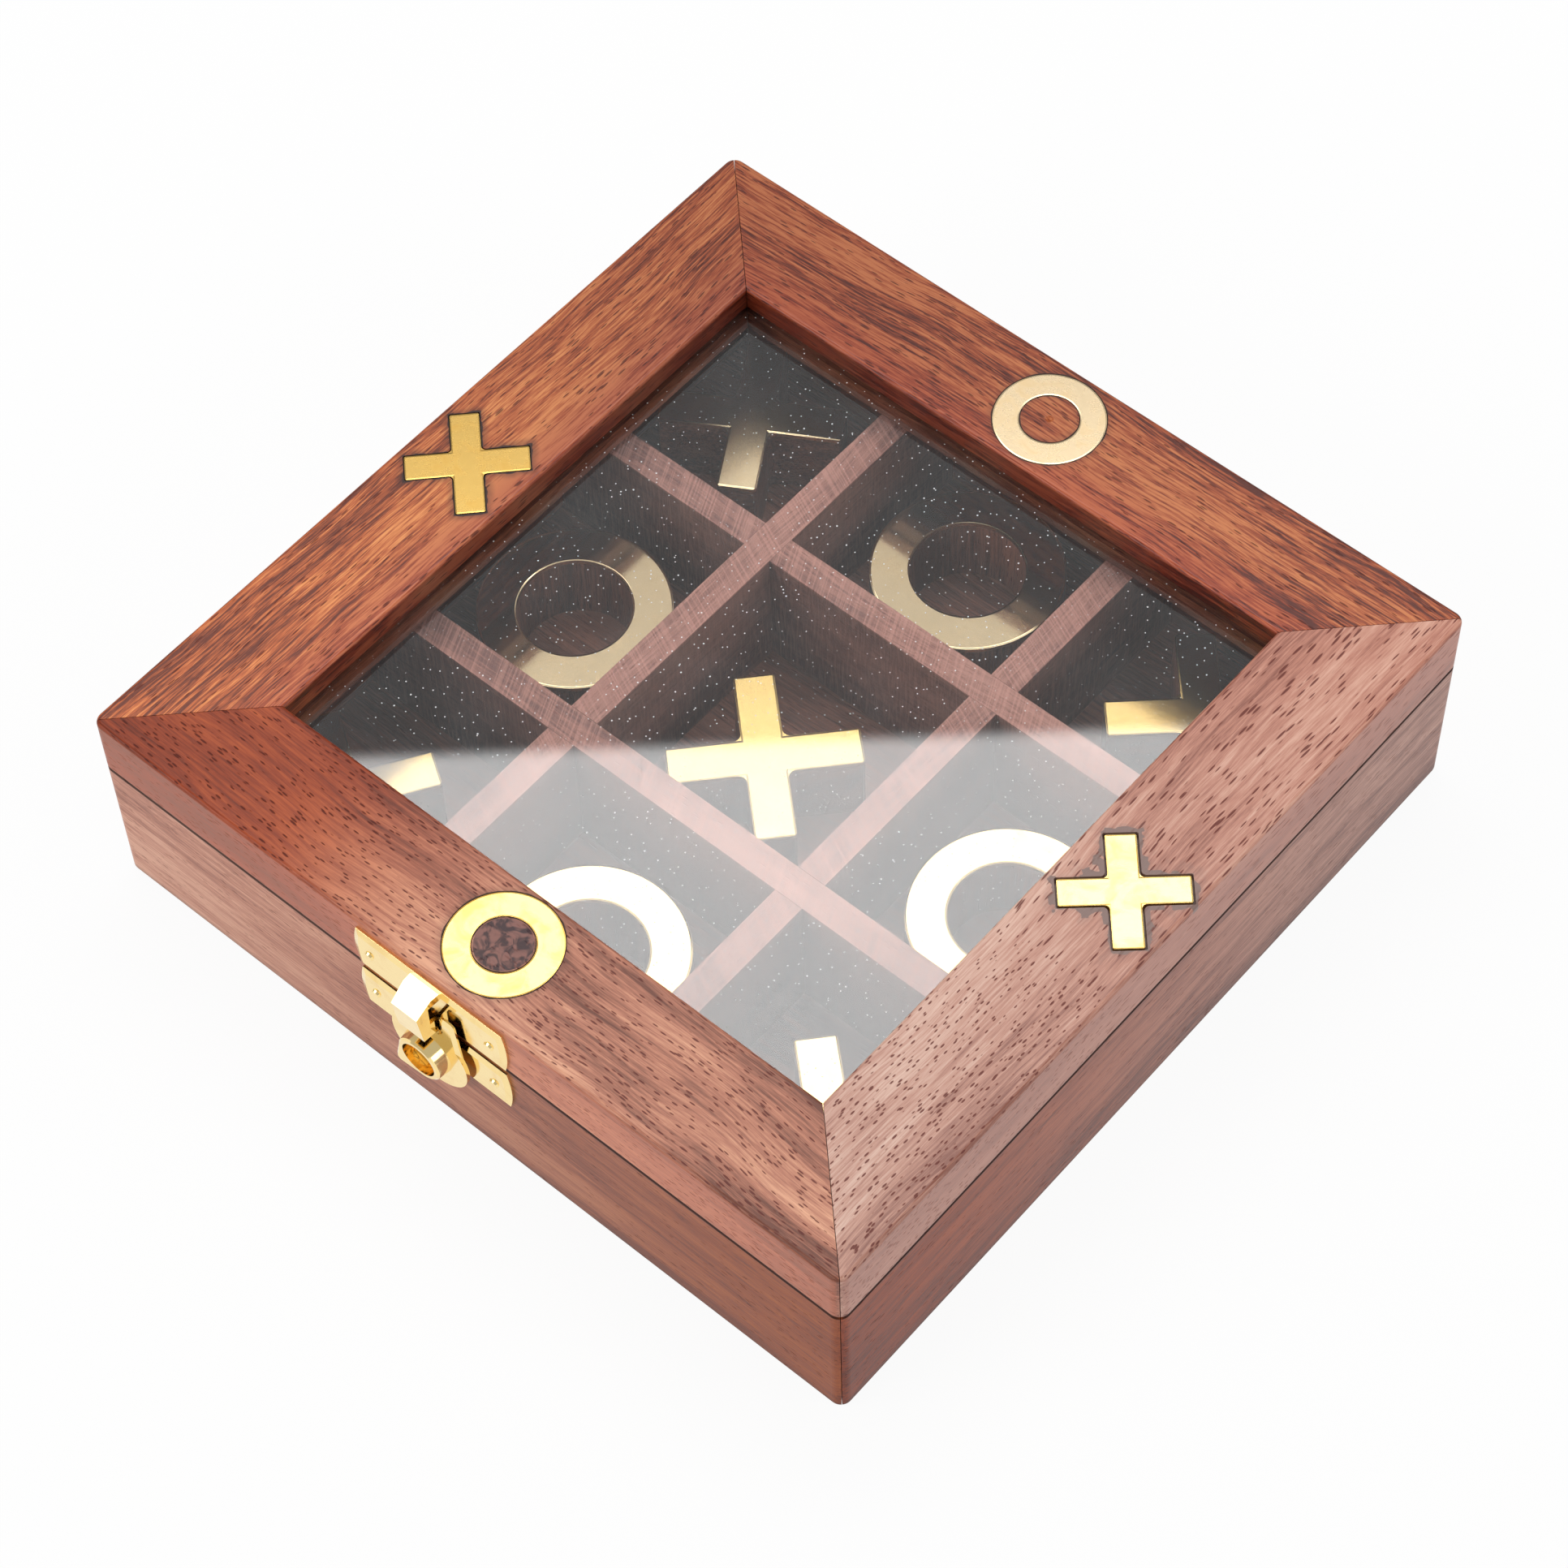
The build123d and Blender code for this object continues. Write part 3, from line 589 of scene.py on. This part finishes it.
@dataclass(frozen=True)
class Timber:
    """An oiled red-brown hardwood with zones, streaks, fine fibres and short dark pores."""

    name: str
    grain: Grain
    tones: Tones
    pores: Pores = Pores()
    zone: float = 1.0
    streak: float = 1.0
    fibre: float = 1.0
    seed: float = 0.0
    gloss: float = 0.36
    shine: float = 0.36
    # Painted light and sheen that fall along the board, partly the wood's own change of tone:
    # colour multipliers at the two ends, blended between ends_mm
    ends: tuple[Colour, Colour] | None = None
    ends_mm: tuple[float, float] = (-76.0, 76.0)
    inner: Colour | None = None
    side: Colour | None = None
    # Share of painted shade in the seam under the lid, with half as much painted shade along the
    # bottom edge of the walls
    seam: float = 0.0
    saw_marks: float = 0.0
    marks: tuple[InlayMark, ...] = ()
    inside: float = 1.0
    shade: Shade = Shade.INNER_FACE

    def material(self, lines: BoxLines) -> bpy.types.Material:
        """Builds the material.

        Args:
            lines: The box's faces and edges, which tints and painted shade follow.

        Returns:
            A wood that is cut from its own part of the log, which the seed picks.
        """
        g = Finish(self.name)
        x, y, z = g.place()
        straight = {
            Grain.ALONG_X: (x, y, z), Grain.ALONG_Y: (y, x, z), Grain.UPRIGHT: (z, x, y),
        }[self.grain]
        along, across, height = straight
        shift = self.seed * SEED_STEP
        place = (along, across + WANDER.noise(straight, shift) * WANDER_MM, height)
        fibres = FIBRES.noise(place, shift)
        hollow = self.pores.hollow(place, shift)
        colour = g.mix(hollow * self.pores.share, self._figure(place, fibres), self.pores.colour)
        rough = self.gloss + (fibres - 0.5) * FIBRE_ROUGH + hollow * PORE_ROUGH
        if self.saw_marks:
            slanted = g.vector(along * 2.6 + across * 1.2, across * 0.05, height * 0.2)
            combs = SAW_COMBS.noise(slanted)
            sawdust = tuple(min(1.0, c * 1.5 + 0.02) for c in self.tones.pale)
            colour = g.mix(g.rise(combs, 0.42, 0.66) * self.saw_marks, colour, sawdust)
            hollow = hollow + combs * 0.4
            rough = rough + combs * 0.12
        # Painted light and sheen along the board, partly its own change of tone
        if self.ends is not None:
            colour = g.tint(colour, g.mix(g.rise(along, *self.ends_mm), *self.ends))
        colour = self._tinted(g, colour, abs(across), z, lines)
        if self.marks:
            on_top = g.rise(z - lines.top, *RAIL_TOP)
            for mark in self.marks:
                colour = mark.paint_on(g, x, y, on_top, colour)
        if self.inside != 1.0:
            colour = self._shaded(g, colour, abs(across), z, lines)
        cut = 1.0 - hollow * PORE_CUT - (fibres - 0.5) * FIBRE_CUT
        normal = g.bump(cut, CUT_MM, CUT_STRENGTH)
        return g.done(g.principled(
            Base_Color=colour, Roughness=rough, Normal=normal, Specular_IOR_Level=self.shine))

    def _figure(self, place: Place, fibres: Term) -> Term:
        """The colour of the clean wood.

        Args:
            place: The place along, across and through the board, in millimetres.
            fibres: Noise of the finest layer.

        Returns:
            A ramp over the sum of zones, bands and fibres, each less its mean.
        """
        shift = self.seed * SEED_STEP
        figure = (ZONES.noise(place, shift) - 0.5) * (ZONE_SWING * self.zone) \
            + (BANDS.noise(place, shift) - 0.5) * (BAND_SWING * self.streak) \
            + (fibres - 0.5) * (FIBRE_SWING * self.fibre) + 0.5
        tones = self.tones
        return place[0].graph.ramp(figure, (
            (DARK_AT, tones.dark), (MIDDLE_AT, tones.middle), (PALE_AT, tones.pale)))

    def _tinted(self, g: Graph, colour: Term, out: Term, z: Term, lines: BoxLines) -> Term:
        """Tints a rail's inner strip and side, and paints shade on its lip, in the seam and at the
        walls' bottom.

        Args:
            g: The tree to add to.
            colour: The wood's colour.
            out: Distance from the box's middle plane along the board, in millimetres.
            z: Height in millimetres.
            lines: The box's faces and edges.

        Returns:
            The tinted colour.
        """
        if self.inner is not None:
            strip = g.rise(out - lines.opening, *INNER_STRIP)
            colour = g.mix(strip, colour, g.tint(colour, self.inner))
            lip = g.rise(out - lines.opening, *LIP_OUT) * g.rise(z - lines.top, *LIP_DOWN)
            colour = g.mix(lip, colour, g.tint(colour, LIP_SHADE))
        if self.side is not None:
            edge = g.rise(z - lines.top, *RAIL_EDGE)
            outer = g.rise(out - lines.side, *RAIL_SIDE) * (1.0 - edge)
            colour = g.mix(outer * 0.7, colour, g.mix(0.3, self.side, colour, "OVERLAY"))
        # Painted shade: a dark band in the gap of the seam under the lid, and darker towards the
        # bottom of the walls
        if self.seam:
            seam_shade = g.rise(abs(z - lines.seam), *SEAM_HALF) \
                * g.rise(out - lines.side, *SEAM_OUT) * self.seam
            foot_shade = g.rise(z, *FOOT) * (0.5 * self.seam)
            colour = g.mix(seam_shade.most(foot_shade), colour, PAINTED_SHADE)
        return colour

    def _shaded(self, g: Graph, colour: Term, out: Term, z: Term, lines: BoxLines) -> Term:
        """Darkens what lies in the shade of the lid.

        Args:
            g: The tree to add to.
            colour: The wood's colour.
            out: Distance from the box's middle plane along the board, in millimetres.
            z: Height in millimetres.
            lines: The box's faces and edges.

        Returns:
            The colour, darker on a wall's inner face or below a divider's upper edge.
        """
        if self.shade is Shade.INNER_FACE:
            shaded = g.rise(out - lines.hollow, *INNER_SHADE)
        else:
            shaded = g.rise(z - lines.divider, *DIVIDER_SHADE)
        return g.mix(shaded, colour, g.tint(colour, (self.inside,) * 3))


@dataclass(frozen=True)
class Brass:
    """A yellow metal with brush marks and a little tarnish; its rim falls away at the edge."""

    name: str
    metal: Colour
    stain: Colour
    rough: float
    stained: float
    brushed: float
    turn: float = 0.0
    depth_mm: float = 0.004
    rim: Sign | None = None
    rim_mm: float = 0.35
    rim_fall_mm: float = 0.09

    def material(self) -> bpy.types.Material:
        """Builds the material.

        Returns:
            Brass with long fine lines along its turn and clouds of stain.
        """
        g = Finish(self.name)
        x, y, z = g.place()
        c, s = math.cos(math.radians(self.turn)), math.sin(math.radians(self.turn))
        brushed = (x * c + y * s, y * c - x * s, z)
        lines, strokes = BRUSH_LINES.noise(brushed), BRUSH_STROKES.noise(brushed)
        point = g.vector(x, y, z)
        clouds = g.rise(TARNISH.noise(point), 0.42, 0.72)
        spots = g.rise(TARNISH_SPOTS.noise(point), 0.60, 0.74)
        tarnish = clouds * 0.7 + spots * 0.15
        colour = g.mix((tarnish * self.stained).least(1.0), self.metal, self.stain)
        rough = self.rough + (lines - 0.5) * (0.14 * self.brushed) + (strokes - 0.5) * 0.06 \
            + tarnish * (0.12 * self.stained)
        normal = g.bump(lines * 0.7 + strokes * 0.3, self.depth_mm, self.brushed)
        if self.rim is not None:
            fall = g.rise(self.rim.away(x, y), -self.rim_mm, 0.05, 1.0, 0.0)
            normal = g.bump(fall, self.rim_fall_mm, under=normal)
        return g.done(g.principled(
            Base_Color=colour, Metallic=1.0, Roughness=rough.most(0.03), Normal=normal))


@dataclass(frozen=True)
class DustyGlass:
    """Clear window glass with fine white specks of dust on its upper face.

    Each pair of cells is the specks' spacing and their radius as a share of that spacing.
    """

    name: str
    top_mm: float
    dust: Colour = paint(235, 235, 235)
    speck: float = 0.8
    smear: float = 0.012
    cells: tuple[tuple[float, float], ...] = ((2.5, 0.046), (5.5, 0.027))

    def material(self) -> bpy.types.Material:
        """Builds the material.

        Returns:
            Glass to the eye with dust mixed in, and clear to shadow rays.
        """
        g = Finish(self.name)
        x, y, z = g.place()
        point = g.vector(x, y, z)
        group = DUST_GROUPS.noise(point)
        specks: Value = 0.0
        for cell_mm, reach in self.cells:
            away = g.cells(g.vector(x / cell_mm, y / cell_mm, 0.0), "2D")
            limit = g.rise(group, 0.32, 0.62, 0.5 * reach, 1.25 * reach)
            specks = g.rise(away / limit, 1.0, 0.55) + specks
        specks = specks * g.rise(z, self.top_mm - 0.4, self.top_mm - 0.2)
        film = g.rise(FILM.noise(point), 0.35, 0.8) * self.smear
        clear = g.principled(
            Base_Color=(1.0, 1.0, 1.0), Roughness=0.0, IOR=1.5, Transmission_Weight=1.0)
        grain = g.principled(Base_Color=self.dust, Roughness=0.9)
        seen = g.either((specks * self.speck + film).least(1.0), clear, grain)
        shadow = g.node("ShaderNodeLightPath", output="Is Shadow Ray")
        through = g.node("ShaderNodeBsdfTransparent", inputs={0: (0.96, 0.98, 0.97)})
        return g.done(g.either(shadow, seen, through))


def dress(nodes: Nodes, name: str, finish: bpy.types.Material) -> None:
    """Gives every slot of a carried-over node one finish.

    Args:
        nodes: The frame's nodes.
        name: Name of the node.
        finish: The material.
    """
    mesh = nodes[name].data
    if not mesh.materials:
        mesh.materials.append(finish)
    for index in range(len(mesh.materials)):
        mesh.materials[index] = finish
    LOG.info("dressed %s in %s", name, finish.name)


# Boards on the front and back run along X, those on the right and left along Y
SIDES = {"front": Grain.ALONG_X, "right": Grain.ALONG_Y,
         "back": Grain.ALONG_X, "left": Grain.ALONG_Y}
QUIET_PORES = Pores(3.6, 0.55, 0.19, 0.4, 0.6, paint(84, 46, 36))
RED_PORES = Pores(4.0, 0.62, 0.24, 0.5, 0.75, paint(78, 26, 18))
DENSE_PORES = Pores(2.5, 0.52, 0.29, 0.4, 0.85, paint(84, 36, 28))
PATCHED_PORES = Pores(4.6, 0.62, 0.30, 0.4, 0.9, paint(104, 46, 38), (-76.0, -14.0))


@dataclass
class BaseBox:
    """The lower half: four walls, the floor and the crossed dividers."""

    nodes: Nodes
    lines: BoxLines
    divider_seeds: dict[str, float] = field(default_factory=lambda: {
        "front": 8.1, "back": 9.3, "left": 10.9, "right": 11.4})

    def walls(self) -> tuple[Timber, ...]:
        """The woods of the front, right, back and left walls."""
        # The ends of the front and right walls paint the light and sheen that fall along them
        return (
            Timber("front wall wood", SIDES["front"], FAWN_BROWN, QUIET_PORES, seed=1.3, zone=0.9,
                   fibre=0.9, ends=((1.17, 1.24, 1.26), (0.62, 0.31, 0.08))),
            Timber("right wall wood", SIDES["right"], DUSK_BROWN, QUIET_PORES, seed=2.9, zone=0.8,
                   streak=1.1, fibre=1.1, ends=((0.76, 0.23, 0.05), (1.17, 1.12, 1.14))),
            Timber("back wall wood", SIDES["back"], ORANGE_RED, seed=4.1),
            Timber("left wall wood", SIDES["left"], ORANGE_RED, seed=5.7))

    def build(self) -> None:
        """Dresses the walls, the floor and the dividers."""
        for side, timber in zip(SIDES, self.walls()):
            # inside paints shade on the walls' inner faces; seam paints shade into the seam and
            # along the walls' bottom edge
            whole = replace(timber, inside=0.45, seam=0.9, shine=0.16)
            dress(self.nodes, f"base_{side}_wall", whole.material(self.lines))
        floor = Timber("floor wood", Grain.ALONG_X, SHADE_BROWN, seed=7.7, gloss=0.55)
        dress(self.nodes, "base_floor", floor.material(self.lines))
        for side, seed in self.divider_seeds.items():
            strip = Timber(f"{side} divider wood", SIDES[side], SAWN_BROWN, QUIET_PORES, seed=seed,
                           gloss=0.5, streak=0.6, saw_marks=0.35, inside=0.6,
                           shade=Shade.BELOW_TOP)
            dress(self.nodes, f"divider_{side}", strip.material(self.lines))


@dataclass
class Lid:
    """The glazed lid: rails, brass signs, pane and the beads under it."""

    nodes: Nodes
    lines: BoxLines
    bead_seeds: dict[str, float] = field(default_factory=lambda: {
        "front": 22.0, "right": 22.0, "back": 21.0, "left": 21.0})

    def rails(self) -> tuple[Timber, ...]:
        """The woods of the front, right, back and left rails."""
        # Each rail's ends paint the light and sheen that fall along it; the front rail's become a
        # pale sheen towards its right
        return (
            Timber("front rail wood", SIDES["front"], EARTH_BROWN, DENSE_PORES, seed=12.5,
                   streak=0.8, fibre=0.62, shine=0.22, side=paint(188, 114, 84),
                   ends=((0.87, 0.49, 0.32), (1.50, 2.08, 2.80)), ends_mm=(-42.0, 4.0)),
            Timber("right rail wood", SIDES["right"], PINK_BROWN, PATCHED_PORES, seed=13.9,
                   zone=0.8, streak=0.6, fibre=0.7, side=paint(171, 119, 102),
                   ends=((0.99, 1.04, 1.08), (0.95, 0.79, 0.75))),
            Timber("back rail wood", SIDES["back"], ORANGE_RED, RED_PORES, seed=15.1,
                   streak=1.2, fibre=1.5, inner=(0.85, 0.60, 0.60),
                   ends=((0.63, 0.53, 0.59), (0.89, 0.83, 0.88))),
            Timber("left rail wood", SIDES["left"], ORANGE_RED, RED_PORES, seed=16.6,
                   fibre=1.2, inner=(0.68, 0.50, 0.60),
                   ends=((1.34, 1.46, 1.38), (0.74, 0.70, 0.76))))

    def marks(self) -> tuple[InlayMark, ...]:
        """The marks round the front, right, back and left signs, placed as the frame has them."""
        return (
            InlayMark(Sign(Outline.RING, *middle("lid_front_inlay"), turn=20.0),
                      paint(58, 34, 24), line_mm=0.10, ragged_mm=0.15, heart=paint(58, 42, 46)),
            InlayMark(Sign(Outline.CROSS, *middle("lid_right_inlay"), turn=41.8),
                      paint(132, 106, 98), line_mm=0.28, ragged_mm=1.1, heel_mm=(10.8, 6.4)),
            InlayMark(Sign(Outline.RING, *middle("lid_back_inlay"), turn=5.0),
                      paint(60, 30, 20), line_mm=0.10, ragged_mm=0.15),
            InlayMark(Sign(Outline.CROSS, *middle("lid_left_inlay"), turn=46.0),
                      paint(52, 26, 18), line_mm=0.16, ragged_mm=0.35, stain=0.5))

    def build(self) -> None:
        """Dresses the rails, the signs, the beads and the pane."""
        metals = (
            (paint(236, 193, 114), paint(218, 150, 58)),
            (paint(238, 204, 128), paint(226, 176, 84)),
            (paint(222, 200, 164), paint(192, 160, 108)),
            (paint(206, 170, 96), paint(180, 136, 60)))
        for side, timber, mark, metal in zip(SIDES, self.rails(), self.marks(), metals):
            # seam paints shade on the rails' outer faces along the seam under the lid
            whole = replace(timber, marks=(mark,), seam=0.9)
            dress(self.nodes, f"lid_{side}_rail", whole.material(self.lines))
            brass = Brass(f"{side} sign brass", *metal, rough=0.26, stained=0.65, brushed=0.08,
                          turn=mark.sign.turn, rim=mark.sign, rim_mm=0.25, rim_fall_mm=0.05)
            dress(self.nodes, f"lid_{side}_inlay", brass.material())
        for side, seed in self.bead_seeds.items():
            bead = Timber(f"{side} bead wood", SIDES[side], SHADE_BROWN, seed=seed, gloss=0.5)
            dress(self.nodes, f"glass_bead_{side}", bead.material(self.lines))
        top_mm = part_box("lid_glass")[1][2] / MM
        dress(self.nodes, "lid_glass", DustyGlass("dusty glass", top_mm).material())


@dataclass
class Hardware:
    """The clasp at the front and the two hinges at the back."""

    nodes: Nodes

    def build(self) -> None:
        """Dresses the clasp, its nails and rivet, and the hinges with their screws."""
        bright = Brass("clasp brass", paint(253, 226, 160), paint(226, 172, 92), rough=0.10,
                       stained=0.35, brushed=0.25).material()
        aged = Brass("hinge brass", paint(226, 182, 96), paint(150, 104, 48), rough=0.26,
                     stained=0.6, brushed=0.4).material()
        for name in self.nodes:
            if name.startswith("clasp_"):
                dress(self.nodes, name, bright)
            elif name.startswith("hinge_"):
                dress(self.nodes, name, aged)


@dataclass
class Pieces:
    """The nine loose pieces: a wooden block with a brass face each.

    The faces that the soft box's reflection covers or touches are of the deep brass, so that they
    don't burn out, and the three beyond it are of the pale one.
    """

    nodes: Nodes
    lines: BoxLines
    ring_mm: float = 32.4
    hole_mm: float = 19.2
    cross_mm: float = 31.6
    arm_mm: float = 6.7
    mirror_rough: float = 0.09
    satin_rough: float = 0.19
    pale: tuple[str, ...] = ("cross_back_left", "ring_back", "ring_left")
    pale_brass: tuple[Colour, Colour] = (paint(218, 196, 158), paint(184, 154, 108))
    deep_brass: tuple[Colour, Colour] = (paint(190, 163, 106), paint(160, 130, 76))
    turns: dict[str, float] = field(default_factory=lambda: {
        "cross_back_left": 30.9, "ring_back": 12.0, "cross_back_right": 42.8, "ring_left": 60.0,
        "cross_centre": 47.4, "ring_right": 35.0, "cross_front_left": 57.6, "ring_front": 80.0,
        "cross_front_right": 48.3})

    def sign(self, name: str) -> Sign:
        """The outline of a piece, centred on its node.

        Args:
            name: Name of the piece.

        Returns:
            The ring or cross, its middle read from the frame.
        """
        x, y = middle(f"{name}_face")
        if name.startswith("ring"):
            return Sign(Outline.RING, x, y, outer_mm=self.ring_mm / 2, inner_mm=self.hole_mm / 2)
        return Sign(Outline.CROSS, x, y, self.turns[name], span_mm=self.cross_mm,
                    arm_mm=self.arm_mm)

    def build(self) -> None:
        """Dresses every block and face, each face brushed its own way."""
        for index, (name, turn) in enumerate(self.turns.items()):
            wood = Timber(f"{name} block wood", Grain.UPRIGHT if index % 2 else Grain.ALONG_X,
                          SHADE_BROWN, seed=20.0 + index, gloss=0.5)
            dress(self.nodes, f"{name}_block", wood.material(self.lines))
            metal = self.pale_brass if name in self.pale else self.deep_brass
            sign = self.sign(name)
            rough = self.mirror_rough if sign.outline is Outline.RING else self.satin_rough
            face = Brass(f"{name} face brass", *metal, rough=rough, stained=0.4, brushed=0.35,
                         turn=turn, rim=sign)
            dress(self.nodes, f"{name}_face", face.material())


@dataclass(frozen=True)
class SoftBox:
    """A rectangular lamp that fades at its edges; its lengths are in metres.

    A radiance of 1 is as bright as white paper under a full sky of 1.
    """

    name: str
    centre: tuple[float, float, float]
    facing: tuple[float, float, float]
    size: tuple[float, float]
    radiance: float
    edge: float = 0.025

    def _soften(self, data: bpy.types.AreaLight) -> None:
        """Fades the lamp over a share of its width and height at every edge.

        Args:
            data: The lamp's data, whose node tree is filled.
        """
        data.use_nodes = True
        g = Graph(data.node_tree)
        spot = g.node("ShaderNodeNewGeometry", output="Parametric")
        level: Value = 1.0
        for axis in (0, 1):
            along = g.node("ShaderNodeSeparateXYZ", inputs={0: spot}, output=axis)
            for low, high in ((0.0, self.edge), (1.0, 1.0 - self.edge)):
                level = level * g.rise(along, low, high)
        g.node("ShaderNodeOutputLight", inputs={0: g.node("ShaderNodeEmission", inputs={1: level})})

    def hang(self) -> None:
        """Hangs the lamp so that its face looks at the point it faces."""
        data = bpy.data.lights.new(self.name, "AREA")
        data.shape = "RECTANGLE"
        data.size, data.size_y = self.size
        data.energy = self.radiance * math.pi * self.size[0] * self.size[1]
        self._soften(data)
        back = np.array(self.centre, float) - np.array(self.facing, float)
        back /= np.linalg.norm(back)
        side = np.cross((0.0, 0.0, 1.0), back)
        side /= np.linalg.norm(side)
        turn = Matrix(np.array((side, np.cross(back, side), back)).T.tolist()).to_4x4()
        lamp = bpy.data.objects.new(self.name, data)
        lamp.matrix_world = Matrix.Translation(self.centre) @ turn
        lamp.visible_camera = False
        bpy.context.scene.collection.objects.link(lamp)


@dataclass
class Studio:
    """Camera, pale floor, white surroundings and soft boxes; its lengths are in metres.

    The overhead box hangs level, square to the overhead way. Its far edge, at the overhead reach
    along that way, is the edge of what the pane mirrors.
    """

    lens: float = 97.205
    sensor: float = 36.0
    nearest: float = 0.01
    eye_mm: tuple[float, float, float] = (256.74, -282.88, 578.38)
    aim: tuple[float, float, float] = (33.8441, 1.1268, 40.5951)
    floor_half: float = 4.0
    floor_grey: Colour = (0.86, 0.86, 0.86)
    floor_white: float = 0.93
    floor_mirrored: float = 0.9
    ambient: float = 0.62
    mirrored: float = 0.68
    overhead_reach: float = 0.655
    overhead_height: float = 1.0
    overhead_size: tuple[float, float] = (0.75, 0.42)
    overhead_radiance: float = 4.8
    overhead_way: tuple[float, float, float] = (-0.674, 0.739, 0.0)
    fill_aim: tuple[float, float, float] = (0.0, 0.0, 0.02)

    def camera(self) -> None:
        """Places the camera where the photograph was taken from."""
        data = bpy.data.cameras.new("camera")
        data.lens = self.lens
        data.sensor_width = self.sensor
        data.clip_start = self.nearest
        eye = bpy.data.objects.new("camera", data)
        eye.location = [v * MM for v in self.eye_mm]
        eye.rotation_euler = [math.radians(v) for v in self.aim]
        bpy.context.scene.collection.objects.link(eye)
        bpy.context.scene.camera = eye

    def floor(self) -> None:
        """Lays a pale floor that reads as white to the camera and keeps a faint shadow."""
        half = self.floor_half
        mesh = bpy.data.meshes.new("floor")
        corners = np.array([(-half, -half, 0), (half, -half, 0), (half, half, 0), (-half, half, 0)])
        mesh.from_pydata(corners.tolist(), [], [(0, 1, 2, 3)])
        floor = bpy.data.objects.new("floor", mesh)
        bpy.context.scene.collection.objects.link(floor)
        g = Finish("pale floor")
        paper = g.node("ShaderNodeBsdfDiffuse", inputs={0: self.floor_grey})
        white = g.node("ShaderNodeEmission", inputs={0: (1.0, 1.0, 1.0), 1: 1.0})
        seen = g.node("ShaderNodeLightPath", output="Is Camera Ray") * self.floor_white
        mirrored = g.node("ShaderNodeLightPath", output="Is Glossy Ray") * self.floor_mirrored
        mesh.materials.append(g.done(g.either(seen.most(mirrored), paper, white)))

    def surroundings(self) -> None:
        """White to the camera, an even soft grey to everything else."""
        world = bpy.data.worlds.new("studio")
        bpy.context.scene.world = world
        world.use_nodes = True
        g = Graph(world.node_tree)
        level: Value = self.ambient
        for ray, strength in (("Is Glossy Ray", self.mirrored), ("Is Transmission Ray", 1.0),
                              ("Is Camera Ray", 1.0)):
            hit = g.node("ShaderNodeLightPath", output=ray)
            level = g.node("ShaderNodeMix", {"data_type": "FLOAT"}, {0: hit, 2: level, 3: strength})
        sky = g.node("ShaderNodeBackground", inputs={1: level})
        g.node("ShaderNodeOutputWorld", inputs={0: sky})

    def lamps(self) -> tuple[SoftBox, ...]:
        """The overhead box and the two fills.

        Returns:
            The lamps. The overhead one leans by a hair along its way, which settles its turn.
        """
        way = np.array(self.overhead_way)
        up = np.array((0.0, 0.0, 1.0))
        middle = way * (self.overhead_reach - self.overhead_size[1] / 2) + up * self.overhead_height
        below = middle - up + way * 1e-4
        return (
            SoftBox("overhead box", tuple(middle), tuple(below), self.overhead_size,
                    self.overhead_radiance),
            SoftBox("front fill", (-0.55, -1.15, 0.75), self.fill_aim, (0.9, 0.7), 4.0),
            SoftBox("right fill", (1.25, 0.35, 0.65), self.fill_aim, (0.9, 0.6), 2.6))

    def build(self) -> None:
        """Sets up the whole studio."""
        bpy.context.scene.view_settings.view_transform = "Standard"
        self.camera()
        self.floor()
        self.surroundings()
        for lamp in self.lamps():
            lamp.hang()
            LOG.info("hung %s", lamp.name)


def main() -> None:
    """Builds every part of the scene in order."""
    logging.basicConfig(level=logging.INFO, format="%(message)s")
    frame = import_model()
    nodes = frame["nodes"]
    lines = BoxLines.read()
    for part in (BaseBox(nodes, lines), Lid(nodes, lines), Hardware(nodes), Pieces(nodes, lines),
                 Studio()):
        LOG.info("building %s", type(part).__name__)
        part.build()


if __name__ == "__main__":
    main()
